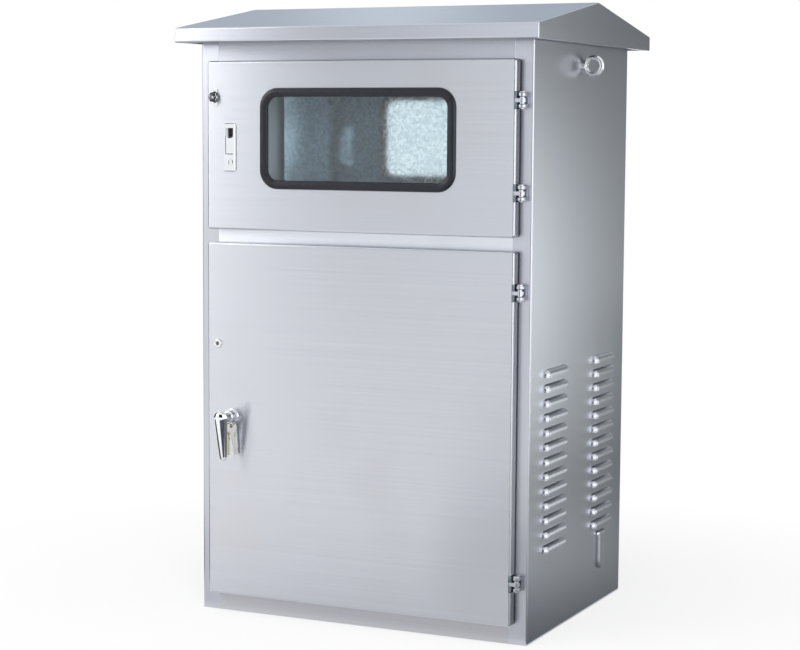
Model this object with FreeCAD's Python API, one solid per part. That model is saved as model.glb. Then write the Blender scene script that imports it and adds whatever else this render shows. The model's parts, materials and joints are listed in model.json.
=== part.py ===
"""Electric meter box: folded stainless body, louvred sides, gabled rain roof, window door and handle door.

Millimetres. The origin is the middle of the box's underside, +Z is up, the doors are on the -Y side and
+X is to the right of someone who faces them.
"""
import FreeCAD
import Part
import math
import os

from FreeCAD import Vector

# Body sheet
BODY_W = 600.0
BODY_D = 450.0
SHEET = 1.5
BEND_R = 1.5
STILE_W = 35.0
RETURN_D = 15.0
WELD_SHARE = 0.8
REAR_FLANGE_W = 20.0
PAN_FLANGE_H = 20.0

# Front rails and openings, from the floor up
SILL_H = 45.0
LOWER_OPENING_H = 575.0
MID_RAIL_H = 48.0
UPPER_OPENING_H = 254.0
TOP_RAIL_H = 58.0

# Doors
DOOR_OVERLAP = 13.0
DOOR_GAP = 3.0
DOOR_DEPTH = 17.0
DOOR_LIP = 12.0
DOOR_CORNER_R = 4.5
DOOR_EDGE_R = 3.5
GASKET_INSET = 1.0
GASKET_CLEAR = 0.3

# Window in the upper door: margins from the door's edges to the cut-out, and the rubber round it
WINDOW_SIDE = 107.0
WINDOW_TOP = 50.5
WINDOW_BOTTOM = 74.5
WINDOW_R = 26.0
GLASS_T = 5.0
RUBBER_LIP = 6.0
RUBBER_WEB = 2.5
RUBBER_PROUD = 5.0
FILLER_W = 5.0
FILLER_DEPTH = 2.4
FILLER_RISE = 0.6

# Rain roof
ROOF_SIDE = 25.0
ROOF_FRONT = 46.0
EAVE_DROP = 15.0
FASCIA_H = 24.0
ROOF_RISE = 45.0
ROOF_LIP = 12.0
GABLE_BEVEL = 1.0
SADDLE_INSET = 100.0
SADDLE_FOOT = 25.0
SADDLE_END = 25.0
SADDLE_FLAT = 6.0
RIVET_R = 4.0
RIVET_HEAD_R = 7.0
RIVET_HEAD_T = 2.0
RIVET_BULB_R = 6.0
RIVET_BULB_L = 5.0
RIVET_INSET = 80.0

# Louvres
LOUVRE_COUNT = 13
LOUVRE_PITCH = 24.0
LOUVRE_LENGTH = 98.0
LOUVRE_H = 13.0
LOUVRE_DEPTH = 9.0
LOUVRE_LIP = 3.0
LOUVRE_EDGE = 61.0
LOUVRE_START = 138.5
LOUVRE_ROOT = 2.5

# Upright pressing under the right rear louvres
PRESSING_W = 30.0
PRESSING_DEPTH = 6.0
PRESSING_EDGE_R = 5.0
PRESSING_LENGTH = 46.0
PRESSING_FOOT = 76.0
PRESSING_BAR_L = 45.0
PRESSING_BAR_H = 7.0
PRESSING_BAR_LIP = 1.5

# Hinges
HINGE_TOP = 65.0
HINGE_BOTTOM = 70.0
PIN_R = 3.0
PIN_OUT = 7.5
PIN_HEAD_R = 4.5
PIN_HEAD_T = 1.0
PIN_TAIL = 1.0
EAR_R = 6.0
EAR_T = 7.0
EAR_GAP = 11.0
EAR_BEVEL = 1.5
BRACKET_T = 2.5
BRACKET_SIDE = 8.0
TONGUE_T = 6.0
TONGUE_W = 12.0
TONGUE_REACH = 36.0
BOSS_R = 4.0
NOTCH_DEPTH = 3.5

# Lifting eyes
EYE_DROP = 50.0
EYE_RING_R = 14.0
EYE_WIRE_R = 4.0
EYE_CENTRE = 18.0
EYE_COLLAR_R = 10.0
EYE_COLLAR_T = 6.0
EYE_SHANK_R = 4.0
EYE_SHANK_L = 13.0

# Nuts
NUT_AF = 13.0
NUT_H = 6.5
NUT_FLANGE_R = 9.0
NUT_FLANGE_T = 1.5

# Shelf, plates and floor fittings
PLATE_T = 2.0
METER_PLATE_GAP = 235.0
LOWER_PLATE_GAP = 40.0
PLATE_SIDE = 10.0
PLATE_END = 15.0
PLATE_R = 4.0
STANDOFF_R = 7.0
STANDOFF_INSET = 18.0
STUD_R = 4.0
STUD_TAIL = 3.0
CABLE_SLOT_W = 220.0
CABLE_SLOT_D = 60.0
CABLE_PASS_W = 120.0
CABLE_PASS_D = 40.0
CABLE_REAR = 105.0
CABLE_R = 12.0
TRIM_LEG = 1.5
TRIM_FLANGE = 5.0
TRIM_T = 1.2
ANCHOR_SIDE = 60.0
ANCHOR_END = 55.0
ANCHOR_R = 6.0
EARTH_SIDE = 70.0
EARTH_FRONT = 95.0
EARTH_L = 30.0

# Seal staple on the left stile, standing through the upper door
STAPLE_DROP = 60.0
STAPLE_T = 3.0
STAPLE_H = 16.0
STAPLE_OUT = 17.0
STAPLE_HOLE_R = 4.0
SLOT_CLEAR = 1.5
SLOT_PLATE_T = 1.2
SLOT_PLATE_RIM = 3.0
SLOT_PLATE_END = 5.0

# Plane lock in the upper door
PLANE_SIDE = 43.75
PLANE_BELOW_WINDOW = 15.0
PLANE_W = 22.5
PLANE_H = 80.0
PLANE_PROUD = 3.0
PLANE_R = 3.0
CUP_W = 18.0
CUP_H = 70.0
CUP_DEPTH = 16.0
CUP_WALL = 1.6
POCKET_TOP = 32.0
POCKET_BOTTOM = 12.0
PULL_T = 4.0
PULL_PIVOT = 9.0
PULL_TOP = 19.0
PULL_SCOOP_R = 9.0
PULL_SCOOP = 4.0
TRUNNION_R = 1.4
KEY_DROP = 25.0
PLUG_R = 5.0
PLUG_HEAD_R = 6.5
PLUG_HEAD_T = 1.0

# Lock cams behind the frame returns
CAM_T = 3.0
CAM_CLEAR = 2.5
CAM_PAST_STILE = 11.0
CAM_W = 12.0
CAM_NECK_R = 3.0
CAM_RIVET_T = 2.0

# Small lock in the lower door
SMALL_SIDE = 20.0
SMALL_Z = 430.0
SMALL_FACE_R = 7.5
SMALL_FACE_T = 2.5
SMALL_BARREL_R = 5.0
SMALL_BARREL_L = 20.0
SMALL_PLUG_R = 3.4
SMALL_NECK_R = 1.7
SMALL_NUT_AF = 15.0
SMALL_CAM_W = 8.0
KEYWAY_W = 1.4
KEYWAY_DEPTH = 4.0
KEYWAY_SHARE = 0.66

# Drop handle on the lower door
HANDLE_SIDE = 48.0
HANDLE_Z = 308.0
ROSE_R = 12.5
ROSE_T = 4.0
COLLAR_R = 10.0
COLLAR_L = 13.0
BARREL_R = 8.0
BARREL_L = 11.0
HANDLE_NUT_AF = 24.0
LOCK_NUT_T = 4.0
NECK_R = 8.5
NECK_L = 24.0
GRIP_UP = 12.0
GRIP_DOWN = 72.0
GRIP_W = 24.0
GRIP_END_W = 12.0
GRIP_T = 14.0
GRIP_END_T = 10.0
GRIP_LEAN = 10.5
GRIP_END_ROUND = 6.0
GRIP_END_ANGLE = 75.0
GRIP_BANDS = 5
SPINDLE_R = 4.0
CAM_NUT_AF = 10.0
CAM_NUT_T = 5.0

# Keys on their ring
RING_R = 12.5
RING_WIRE = 1.5
RING_T = 1.8
RING_FORWARD = 7.0
KEY_T = 2.0
KEY_HOLE_R = 3.2
KEY_BOW_R = 9.0
KEY_BOW_DROP = 4.3
KEY_BLADE_W = 7.0
KEY_LENGTH = 50.0
KEY_TEETH = 4
KEY_TOOTH = 1.6
KEY_APART = 3.0
KEY_TWISTS = {"brass_key": -34.0, "nickel_key": -44.0}

# Clearances
RUN_CLEAR = 0.05
FIT_CLEAR = 0.02
SIDE_CLEAR = 0.2
LINE_CLEAR = 0.25
CUT_PAST = 5.0

# Places that follow from the sizes above
HALF_W = BODY_W / 2
FRONT_Y = -BODY_D / 2
REAR_Y = BODY_D / 2
OPENING_X = HALF_W - STILE_W
LOWER_Z0 = SILL_H
LOWER_Z1 = LOWER_Z0 + LOWER_OPENING_H
UPPER_Z0 = LOWER_Z1 + MID_RAIL_H
UPPER_Z1 = UPPER_Z0 + UPPER_OPENING_H
BODY_H = UPPER_Z1 + TOP_RAIL_H
INNER_X = HALF_W - SHEET
FOLD_R = BEND_R + SHEET
BACK_PANEL_Y = REAR_Y - 2 * SHEET
RETURN_Y = FRONT_Y + RETURN_D
SHELF_TOP = (LOWER_Z1 + UPPER_Z0 + SHEET) / 2
DOOR_X = OPENING_X + DOOR_OVERLAP
DOOR_BACK_Y = FRONT_Y - DOOR_GAP
DOOR_FACE_Y = DOOR_BACK_Y - DOOR_DEPTH
DOOR_INNER_Y = DOOR_FACE_Y + SHEET
DOOR_SPANS = {
    "lower": (LOWER_Z0 - DOOR_OVERLAP, LOWER_Z1 + DOOR_OVERLAP),
    "upper": (UPPER_Z0 - DOOR_OVERLAP, UPPER_Z1 + DOOR_OVERLAP),
}
LOWER_DOOR_Z0 = DOOR_SPANS["lower"][0]
UPPER_DOOR_Z0, UPPER_DOOR_Z1 = DOOR_SPANS["upper"]
PIN_X = DOOR_X + PIN_OUT
PIN_Y = DOOR_INNER_Y + TONGUE_W / 2
HINGE_HALF = EAR_GAP / 2 + EAR_T
WINDOW_HALF_W = DOOR_X - WINDOW_SIDE
WINDOW_HALF_H = (UPPER_DOOR_Z1 - UPPER_DOOR_Z0 - WINDOW_TOP - WINDOW_BOTTOM) / 2
WINDOW_Z = UPPER_DOOR_Z0 + WINDOW_BOTTOM + WINDOW_HALF_H
EAVE_Z = BODY_H - EAVE_DROP
ROOF_X = HALF_W + ROOF_SIDE
ROOF_Y = REAR_Y + ROOF_FRONT
EAVE_TOP_Z = EAVE_Z + FASCIA_H
RIDGE_Z = EAVE_TOP_Z + ROOF_RISE
ROOF_SLOPE = math.atan2(ROOF_RISE, ROOF_Y)
CAM_Y0 = RETURN_Y + CAM_CLEAR
CAM_Y1 = CAM_Y0 + CAM_T
PLANE_X = -DOOR_X + PLANE_SIDE
PLANE_Z = WINDOW_Z - PLANE_BELOW_WINDOW
SMALL_X = -DOOR_X + SMALL_SIDE
SMALL_LOCK_Z = LOWER_DOOR_Z0 + SMALL_Z
HANDLE_X = -DOOR_X + HANDLE_SIDE
HANDLE_AXIS_Z = LOWER_DOOR_Z0 + HANDLE_Z
ROSE_Y = DOOR_FACE_Y - ROSE_T
COLLAR_Y = ROSE_Y - COLLAR_L
STAPLE_X = -OPENING_X + STAPLE_T / 2
STAPLE_Z = UPPER_DOOR_Z1 - STAPLE_DROP


# Shared shapes

def box(x0, x1, y0, y1, z0, z1):
    """Block between two corners."""
    return Part.makeBox(x1 - x0, y1 - y0, z1 - z0, Vector(x0, y0, z0))


def rod_x(x0, x1, y, z, r):
    """Round bar along X."""
    return Part.makeCylinder(r, x1 - x0, Vector(x0, y, z), Vector(1, 0, 0))


def rod_y(y0, y1, x, z, r):
    """Round bar along Y."""
    return Part.makeCylinder(r, y1 - y0, Vector(x, y0, z), Vector(0, 1, 0))


def rod_z(z0, z1, x, y, r):
    """Round bar along Z."""
    return Part.makeCylinder(r, z1 - z0, Vector(x, y, z0))


def mirrored_x(shape):
    """The same piece for the other side of the box."""
    return shape.mirror(Vector(0, 0, 0), Vector(1, 0, 0))


def rounded_plate(size_x, size_y, r, t):
    """Flat plate with rounded corners, centred on the origin and rising t from z = 0."""
    plate = Part.makeBox(size_x, size_y, t, Vector(-size_x / 2, -size_y / 2, 0))
    uprights = [edge for edge in plate.Edges if edge.BoundBox.ZLength > t / 2]
    return plate.makeFillet(r, uprights)


def door_plate(x, z, back_y, size_x, size_z, r, t):
    """Rounded plate that stands in a door's plane and comes forward by t from back_y."""
    plate = rounded_plate(size_x, size_z, r, t)
    return plate.rotated(Vector(0, 0, 0), Vector(1, 0, 0), 90).translated(Vector(x, back_y, z))


def hex_prism(across_flats, height):
    """Six-sided prism on the origin, rising along Z."""
    corner_r = across_flats / math.sqrt(3)
    corners = [Vector(corner_r * math.cos(math.radians(60 * i)), corner_r * math.sin(math.radians(60 * i)), 0)
               for i in range(7)]
    return Part.Face(Part.makePolygon(corners)).extrude(Vector(0, 0, height))


def hex_nut(across_flats, height, bore_r):
    """Plain nut, with its seat at z = 0."""
    return hex_prism(across_flats, height).cut(Part.makeCylinder(bore_r, height))


def flange_nut():
    """Nut with a washer flange, with its seat at z = 0."""
    flange = Part.makeCylinder(NUT_FLANGE_R, NUT_FLANGE_T)
    bore = Part.makeCylinder(STUD_R + FIT_CLEAR, NUT_H)
    return flange.fuse(hex_prism(NUT_AF, NUT_H)).cut(bore).removeSplitter()


def facing(shape, direction, seat):
    """Turn a piece built along +Z to point along direction, and set it on its seat."""
    turn = FreeCAD.Rotation(Vector(0, 0, 1), direction)
    placed = shape.copy()
    placed.Placement = FreeCAD.Placement(seat, turn)
    return placed


def rounded_path(points, radii):
    """Straight edges through the points, with an arc of the given radius at each inner point."""
    edges = []
    start = points[0]
    for before, corner, after, radius in zip(points, points[1:], points[2:], radii):
        back = (before - corner).normalize()
        ahead = (after - corner).normalize()
        half = back.getAngle(ahead) / 2
        enter = corner + back * (radius / math.tan(half))
        leave = corner + ahead * (radius / math.tan(half))
        middle = corner + (back + ahead).normalize() * (radius / math.sin(half) - radius)
        edges.append(Part.makeLine(start, enter))
        edges.append(Part.Arc(enter, middle, leave).toShape())
        start = leave
    edges.append(Part.makeLine(start, points[-1]))
    return edges


def folded_sheet(points, normal, run):
    """Sheet folded along points and drawn out by run; the metal lies left of the line about normal."""
    ways = [(b - a).normalize() for a, b in zip(points, points[1:])]
    lefts = [normal.cross(way) for way in ways]
    turns = [normal.dot(a.cross(b)) > 0 for a, b in zip(ways, ways[1:])]
    inner = [points[0] + lefts[0] * SHEET]
    for corner, first, second in zip(points[1:], lefts, lefts[1:]):
        inner.append(corner + (first + second) * (SHEET / (1 + first.dot(second))))
    inner.append(points[-1] + lefts[-1] * SHEET)
    line_radii = [FOLD_R if left else BEND_R for left in turns]
    inner_radii = [BEND_R if left else FOLD_R for left in turns]
    edges = rounded_path(points, line_radii) + rounded_path(inner, inner_radii)
    edges.append(Part.makeLine(points[0], inner[0]))
    edges.append(Part.makeLine(points[-1], inner[-1]))
    wire = Part.Wire(Part.sortEdges(edges)[0])
    return Part.Face(wire).extrude(run)


def seam_weld(z0, z1):
    """Ground weld that fills the groove between a rail's right end and the stile's rounded fold."""
    reach = FOLD_R * WELD_SHARE
    groove = box(OPENING_X, OPENING_X + reach, FRONT_Y, FRONT_Y + reach, z0, z1)
    return groove.cut(rod_z(z0, z1, OPENING_X + FOLD_R, FRONT_Y + FOLD_R, FOLD_R + FIT_CLEAR))


def rail(points, weld_z0, weld_z1):
    """Sheet rail folded along points given as (y, z), and welded to the stiles between two heights."""
    line = [Vector(-OPENING_X, y, z) for y, z in points]
    sheet = folded_sheet(line, Vector(1, 0, 0), Vector(2 * OPENING_X, 0, 0))
    weld = seam_weld(weld_z0, weld_z1)
    return sheet.fuse([weld, mirrored_x(weld)])


def frame_sweep(section, half_w, half_h, r):
    """Ring of one section round an upright rounded rectangle centred on the Y axis.

    section(x) is the face in the XY plane whose reference line crosses at that x.
    """
    pieces = []
    for quarter in range(4):
        across, along = (half_w, half_h) if quarter % 2 == 0 else (half_h, half_w)
        straight = along - r
        side = section(across).translated(Vector(0, 0, -straight)).extrude(Vector(0, 0, 2 * straight))
        end = section(across).translated(Vector(0, 0, straight))
        corner = end.revolve(Vector(across - r, 0, straight), Vector(0, 1, 0), -90)
        for piece in (side, corner):
            pieces.append(piece.rotated(Vector(0, 0, 0), Vector(0, 1, 0), -90 * quarter))
    return pieces[0].fuse(pieces[1:]).removeSplitter()


# Body sheet

def hood_face(wall_x, depth, height, lip):
    """Section of a pressed hood on a wall: an upright lip, then an arc back to the wall."""
    rise = height - lip
    arc_r = (depth ** 2 + rise ** 2) / (2 * depth)
    half_turn = math.atan2(rise, arc_r - depth) / 2
    foot = Vector(wall_x, 0, 0)
    mouth = Vector(wall_x + depth, 0, 0)
    lip_top = Vector(wall_x + depth, 0, lip)
    root = Vector(wall_x, 0, height)
    reach = depth - arc_r + arc_r * math.cos(half_turn)
    middle = Vector(wall_x + reach, 0, lip + arc_r * math.sin(half_turn))
    edges = [Part.makeLine(foot, mouth), Part.makeLine(mouth, lip_top)]
    edges += [Part.Arc(lip_top, middle, root).toShape(), Part.makeLine(root, foot)]
    return Part.Face(Part.Wire(edges))


def hood(wall_x, length, depth, height, lip):
    """Pressed hood along Y with round ends, its mouth at z = 0."""
    half = length / 2 - LOUVRE_DEPTH
    face = hood_face(wall_x, depth, height, lip)
    middle = face.translated(Vector(0, -half, 0)).extrude(Vector(0, 2 * half, 0))
    ends = []
    for side in (-1, 1):
        end = face.translated(Vector(0, side * half, 0))
        ends.append(end.revolve(Vector(wall_x, side * half, 0), Vector(0, 0, 1), 90 * side))
    return middle.fuse(ends)


def louvre():
    """One louvre on the right wall: the hood, and the space to cut behind it."""
    shell = hood(HALF_W, LOUVRE_LENGTH, LOUVRE_DEPTH, LOUVRE_H, LOUVRE_LIP)
    inner_length = LOUVRE_LENGTH - 2 * SHEET
    inner_depth = LOUVRE_DEPTH - SHEET
    inner_h = LOUVRE_H - LOUVRE_ROOT
    half = LOUVRE_LENGTH / 2 - LOUVRE_DEPTH
    hollow = hood(HALF_W, inner_length, inner_depth, inner_h, LOUVRE_LIP)
    slot = box(INNER_X - SHEET, HALF_W, -half, half, 0, inner_h)
    return shell, hollow.fuse(slot)


def upright_pressing(shrink):
    """Raised pad on the right wall with a round lower end and a round edge, smaller all over by shrink."""
    half_w = PRESSING_W / 2 - shrink
    depth = PRESSING_DEPTH - shrink
    y = REAR_Y - LOUVRE_EDGE - LOUVRE_LENGTH / 2
    pad = box(HALF_W, HALF_W + depth, y - half_w, y + half_w, PRESSING_FOOT, PRESSING_FOOT + PRESSING_LENGTH)
    pad = pad.fuse(rod_x(HALF_W, HALF_W + depth, y, PRESSING_FOOT, half_w)).removeSplitter()
    top_z = PRESSING_FOOT + PRESSING_LENGTH - LINE_CLEAR
    rim = [edge for edge in pad.Edges
           if edge.BoundBox.XMin > HALF_W + depth / 2 and edge.BoundBox.ZMin < top_z]
    return pad.makeFillet(PRESSING_EDGE_R - shrink, rim)


def side_panel(with_pressing):
    """Right side: stile return, stile, wall and rear flange in one folded sheet, with its louvres."""
    line = [
        Vector(OPENING_X, RETURN_Y, 0),
        Vector(OPENING_X, FRONT_Y, 0),
        Vector(HALF_W, FRONT_Y, 0),
        Vector(HALF_W, REAR_Y, 0),
        Vector(HALF_W - REAR_FLANGE_W, REAR_Y, 0),
    ]
    panel = folded_sheet(line, Vector(0, 0, 1), Vector(0, 0, BODY_H))
    shell, hollow = louvre()
    column_y = REAR_Y - LOUVRE_EDGE - LOUVRE_LENGTH / 2
    places = [Vector(0, y, LOUVRE_START + LOUVRE_PITCH * i)
              for y in (-column_y, column_y) for i in range(LOUVRE_COUNT)]
    shells = [shell.translated(place) for place in places]
    hollows = [hollow.translated(place) for place in places]
    if with_pressing:
        bar = hood(HALF_W, PRESSING_BAR_L, PRESSING_DEPTH, PRESSING_BAR_H, PRESSING_BAR_LIP)
        shells.append(upright_pressing(0))
        shells.append(bar.translated(Vector(0, column_y, PRESSING_FOOT + PRESSING_LENGTH)))
        hollows.append(upright_pressing(SHEET))
    eye_hole = rod_x(INNER_X - SHEET, HALF_W + SHEET, 0, BODY_H - EYE_DROP, EYE_SHANK_R + SIDE_CLEAR)
    return panel.fuse(shells).cut(hollows + [eye_hole]).removeSplitter()


def back_panel():
    """Flat sheet lapped inside the rear flanges."""
    half = INNER_X - BEND_R
    return box(-half, half, BACK_PANEL_Y, BACK_PANEL_Y + SHEET, 0, BODY_H)


def pan(z, rise):
    """Flat sheet across the body with a flange at its front and back that rises (or drops) by rise.

    It is notched for the stile returns and its front corners are relieved for the stiles' bends.
    """
    front = FRONT_Y + SHEET
    line = [Vector(-INNER_X, front, z + rise), Vector(-INNER_X, front, z)]
    line += [Vector(-INNER_X, BACK_PANEL_Y, z), Vector(-INNER_X, BACK_PANEL_Y, z + rise)]
    normal = Vector(1, 0, 0) if rise > 0 else Vector(-1, 0, 0)
    sheet = folded_sheet(line, normal, Vector(2 * INNER_X, 0, 0))
    low = min(z, z + rise)
    high = low + abs(rise)
    relief = box(INNER_X - BEND_R, INNER_X, front, front + BEND_R, low, high)
    notch_x = OPENING_X + SHEET + BEND_R
    notch = box(OPENING_X - LINE_CLEAR, notch_x, front, RETURN_Y + LINE_CLEAR, low, high)
    return sheet.cut([relief, notch, mirrored_x(relief), mirrored_x(notch)])


def slot_cutter(width, depth, z):
    """Rounded cable opening through a level sheet near the back panel."""
    cutter = rounded_plate(width, depth, CABLE_R, 2 * CUT_PAST)
    return cutter.translated(Vector(0, REAR_Y - CABLE_REAR, z - CUT_PAST))


def anchor_places():
    """Centres of the four floor anchor holes."""
    x = HALF_W - ANCHOR_SIDE
    y = REAR_Y - ANCHOR_END
    return [(x, y), (-x, y), (-x, -y), (x, -y)]


def floor_pan():
    """Floor sheet with anchor holes and the cable slot."""
    cutters = [rod_z(-CUT_PAST, CUT_PAST, x, y, ANCHOR_R) for x, y in anchor_places()]
    cutters.append(slot_cutter(CABLE_SLOT_W, CABLE_SLOT_D, 0))
    return pan(0, PAN_FLANGE_H).cut(cutters)


def rivet_places():
    """Centres of the rivets that hold the roof saddles."""
    x = HALF_W - SADDLE_INSET + SADDLE_FOOT / 2
    y = REAR_Y - RIVET_INSET
    return [(x, y), (-x, y), (-x, -y), (x, -y)]


def rivet_holes():
    """Cutters for the rivet shanks through the top pan and the saddle feet."""
    return [rod_z(BODY_H - CUT_PAST, BODY_H + CUT_PAST, x, y, RIVET_R + FIT_CLEAR) for x, y in rivet_places()]


def shelf_partition():
    """Shelf between the compartments: its front flange drops onto the mid rail's lower return."""
    back = BACK_PANEL_Y
    line = [Vector(-INNER_X, RETURN_Y, LOWER_Z1), Vector(-INNER_X, RETURN_Y, SHELF_TOP)]
    line += [Vector(-INNER_X, back, SHELF_TOP), Vector(-INNER_X, back, SHELF_TOP - PAN_FLANGE_H)]
    sheet = folded_sheet(line, Vector(-1, 0, 0), Vector(2 * INNER_X, 0, 0))
    return sheet.cut(slot_cutter(CABLE_PASS_W, CABLE_PASS_D, SHELF_TOP))


def cable_trim(width, depth, sheet_top):
    """Rubber edge strip that lines a cable opening and lies on the sheet round it."""
    lie_w = width + 2 * TRIM_FLANGE
    lie_d = depth + 2 * TRIM_FLANGE
    hole_w = width - 2 * TRIM_LEG - 2 * LINE_CLEAR
    hole_d = depth - 2 * TRIM_LEG - 2 * LINE_CLEAR
    leg_r = CABLE_R - LINE_CLEAR
    leg = rounded_plate(width - 2 * LINE_CLEAR, depth - 2 * LINE_CLEAR, leg_r, SHEET)
    collar = rounded_plate(lie_w, lie_d, CABLE_R + TRIM_FLANGE, TRIM_T).translated(Vector(0, 0, SHEET))
    hole = rounded_plate(hole_w, hole_d, leg_r - TRIM_LEG, SHEET + TRIM_T)
    trim = leg.fuse(collar).cut(hole).removeSplitter()
    return trim.translated(Vector(0, REAR_Y - CABLE_REAR, sheet_top - SHEET))


# Roof

def rain_roof():
    """Roof sheet: lips, fascias and both slopes folded in one piece."""
    x = -ROOF_X + SHEET
    line = [
        Vector(x, ROOF_Y - ROOF_LIP, EAVE_Z),
        Vector(x, ROOF_Y, EAVE_Z),
        Vector(x, ROOF_Y, EAVE_TOP_Z),
        Vector(x, 0, RIDGE_Z),
        Vector(x, -ROOF_Y, EAVE_TOP_Z),
        Vector(x, -ROOF_Y, EAVE_Z),
        Vector(x, -ROOF_Y + ROOF_LIP, EAVE_Z),
    ]
    return folded_sheet(line, Vector(1, 0, 0), Vector(2 * ROOF_X - 2 * SHEET, 0, 0))


def roof_gable():
    """Right end of the roof: a plate of its outline, ground off at the weld, with a lip folded in below."""
    x = ROOF_X - SHEET
    outline = [Vector(x, ROOF_Y, EAVE_Z), Vector(x, ROOF_Y, EAVE_TOP_Z), Vector(x, 0, RIDGE_Z)]
    outline += [Vector(x, -ROOF_Y, EAVE_TOP_Z), Vector(x, -ROOF_Y, EAVE_Z)]
    edges = rounded_path(outline, [FOLD_R] * 3)
    edges.append(Part.makeLine(outline[-1], outline[0]))
    plate = Part.Face(Part.Wire(Part.sortEdges(edges)[0])).extrude(Vector(SHEET, 0, 0))
    rim = [edge for edge in plate.Edges
           if edge.BoundBox.XMin > x + SHEET / 2 and edge.BoundBox.ZMax > EAVE_Z + SHEET]
    plate = plate.makeChamfer(GABLE_BEVEL, rim)
    lip_y = ROOF_Y - ROOF_LIP
    lip = box(ROOF_X - ROOF_LIP, ROOF_X, -lip_y, lip_y, EAVE_Z, EAVE_Z + SHEET)
    return plate.fuse(lip).removeSplitter()


def roof_underside(y):
    """Height of the roof sheet's underside at a given y."""
    return RIDGE_Z - SHEET / math.cos(ROOF_SLOPE) - abs(y) * math.tan(ROOF_SLOPE)


def roof_saddle():
    """Right bracket under the roof: a riveted foot and a web cut to the slopes."""
    x = HALF_W - SADDLE_INSET
    end = REAR_Y - SADDLE_END
    heads = [(y, roof_underside(y)) for y in (end, SADDLE_FLAT, -SADDLE_FLAT, -end)]
    corners = [Vector(x, -end, BODY_H), Vector(x, end, BODY_H)] + [Vector(x, y, z) for y, z in heads]
    web = Part.Face(Part.makePolygon(corners + corners[:1])).extrude(Vector(SHEET, 0, 0))
    foot = box(x, x + SADDLE_FOOT, -end, end, BODY_H, BODY_H + SHEET)
    return web.fuse(foot).cut(rivet_holes()).removeSplitter()


def roof_rivets():
    """Blind rivets, each with its head on the saddle's foot and its bulb under the top pan."""
    foot_z = BODY_H + SHEET
    under_z = BODY_H - SHEET
    rivets = []
    for x, y in rivet_places():
        head = rod_z(foot_z, foot_z + RIVET_HEAD_T, x, y, RIVET_HEAD_R)
        shank = rod_z(under_z - RIVET_BULB_L, foot_z, x, y, RIVET_R)
        bulb = rod_z(under_z - RIVET_BULB_L, under_z, x, y, RIVET_BULB_R)
        rivets.append(head.fuse([shank, bulb]).removeSplitter())
    return Part.makeCompound(rivets)


# Mounting plates and fittings

def plate_span(name):
    """Lower and upper edge of a mounting plate."""
    if name == "meter":
        return UPPER_Z0 + PLATE_END, UPPER_Z1 - PLATE_END
    return LOWER_Z0 + PLATE_END, LOWER_Z1 - PLATE_END


def plate_rear(name):
    """Y of a mounting plate's rear face; the meter plate stands well forward, close behind the window."""
    return BACK_PANEL_Y - (METER_PLATE_GAP if name == "meter" else LOWER_PLATE_GAP)


def stud_places(name):
    """Centres of a mounting plate's four studs, as (x, z)."""
    z0, z1 = plate_span(name)
    x = OPENING_X - PLATE_SIDE - STANDOFF_INSET
    return [(side * x, z) for z in (z0 + STANDOFF_INSET, z1 - STANDOFF_INSET) for side in (-1, 1)]


def mounting_plate(name):
    """Galvanised plate with a hole for each stud."""
    z0, z1 = plate_span(name)
    rear = plate_rear(name)
    plate = door_plate(0, (z0 + z1) / 2, rear, 2 * (OPENING_X - PLATE_SIDE), z1 - z0, PLATE_R, PLATE_T)
    holes = [rod_y(rear - PLATE_T - CUT_PAST, rear + CUT_PAST, x, z, STUD_R + SIDE_CLEAR)
             for x, z in stud_places(name)]
    return plate.cut(holes)


def plate_standoffs():
    """Turned stand-offs welded to the back panel, each with a stud through its plate."""
    pieces = []
    for name in ("meter", "lower"):
        rear = plate_rear(name)
        stud_end = rear - PLATE_T - NUT_H - STUD_TAIL
        for x, z in stud_places(name):
            post = rod_y(rear, BACK_PANEL_Y, x, z, STANDOFF_R)
            pieces.append(post.fuse(rod_y(stud_end, rear, x, z, STUD_R)))
    return Part.makeCompound(pieces)


def plate_nuts():
    """Flange nuts on the plates' studs."""
    return Part.makeCompound([facing(flange_nut(), Vector(0, -1, 0), Vector(x, plate_rear(name) - PLATE_T, z))
                              for name in ("meter", "lower") for x, z in stud_places(name)])


def earth_stud():
    """Earth terminal stud welded to the floor pan."""
    x = HALF_W - EARTH_SIDE
    y = FRONT_Y + EARTH_FRONT
    return rod_z(SHEET, SHEET + EARTH_L, x, y, STUD_R)


def earth_nut():
    """Nut on the earth terminal."""
    return flange_nut().translated(Vector(HALF_W - EARTH_SIDE, FRONT_Y + EARTH_FRONT, SHEET))


def lifting_eye():
    """Forged lifting eye on the right wall: collar, ring and shank."""
    z = BODY_H - EYE_DROP
    centre = Vector(HALF_W + EYE_CENTRE, 0, z)
    ring = Part.makeTorus(EYE_RING_R, EYE_WIRE_R, centre, Vector(0, 1, 0))
    collar = rod_x(HALF_W, HALF_W + EYE_COLLAR_T, 0, z, EYE_COLLAR_R)
    shank = rod_x(HALF_W - EYE_SHANK_L, HALF_W, 0, z, EYE_SHANK_R)
    eye = rod_y(-EYE_COLLAR_R, EYE_COLLAR_R, HALF_W + EYE_CENTRE, z, EYE_RING_R - EYE_WIRE_R)
    return collar.cut(eye).fuse([ring, shank])


def eyebolts():
    """Lifting eyes of both sides."""
    eye = lifting_eye()
    return Part.makeCompound([eye, mirrored_x(eye)])


def eyebolt_nuts():
    """Flange nuts that hold the lifting eyes inside the body."""
    z = BODY_H - EYE_DROP
    nut = facing(flange_nut(), Vector(-1, 0, 0), Vector(INNER_X, 0, z))
    return Part.makeCompound([nut, mirrored_x(nut)])


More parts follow.
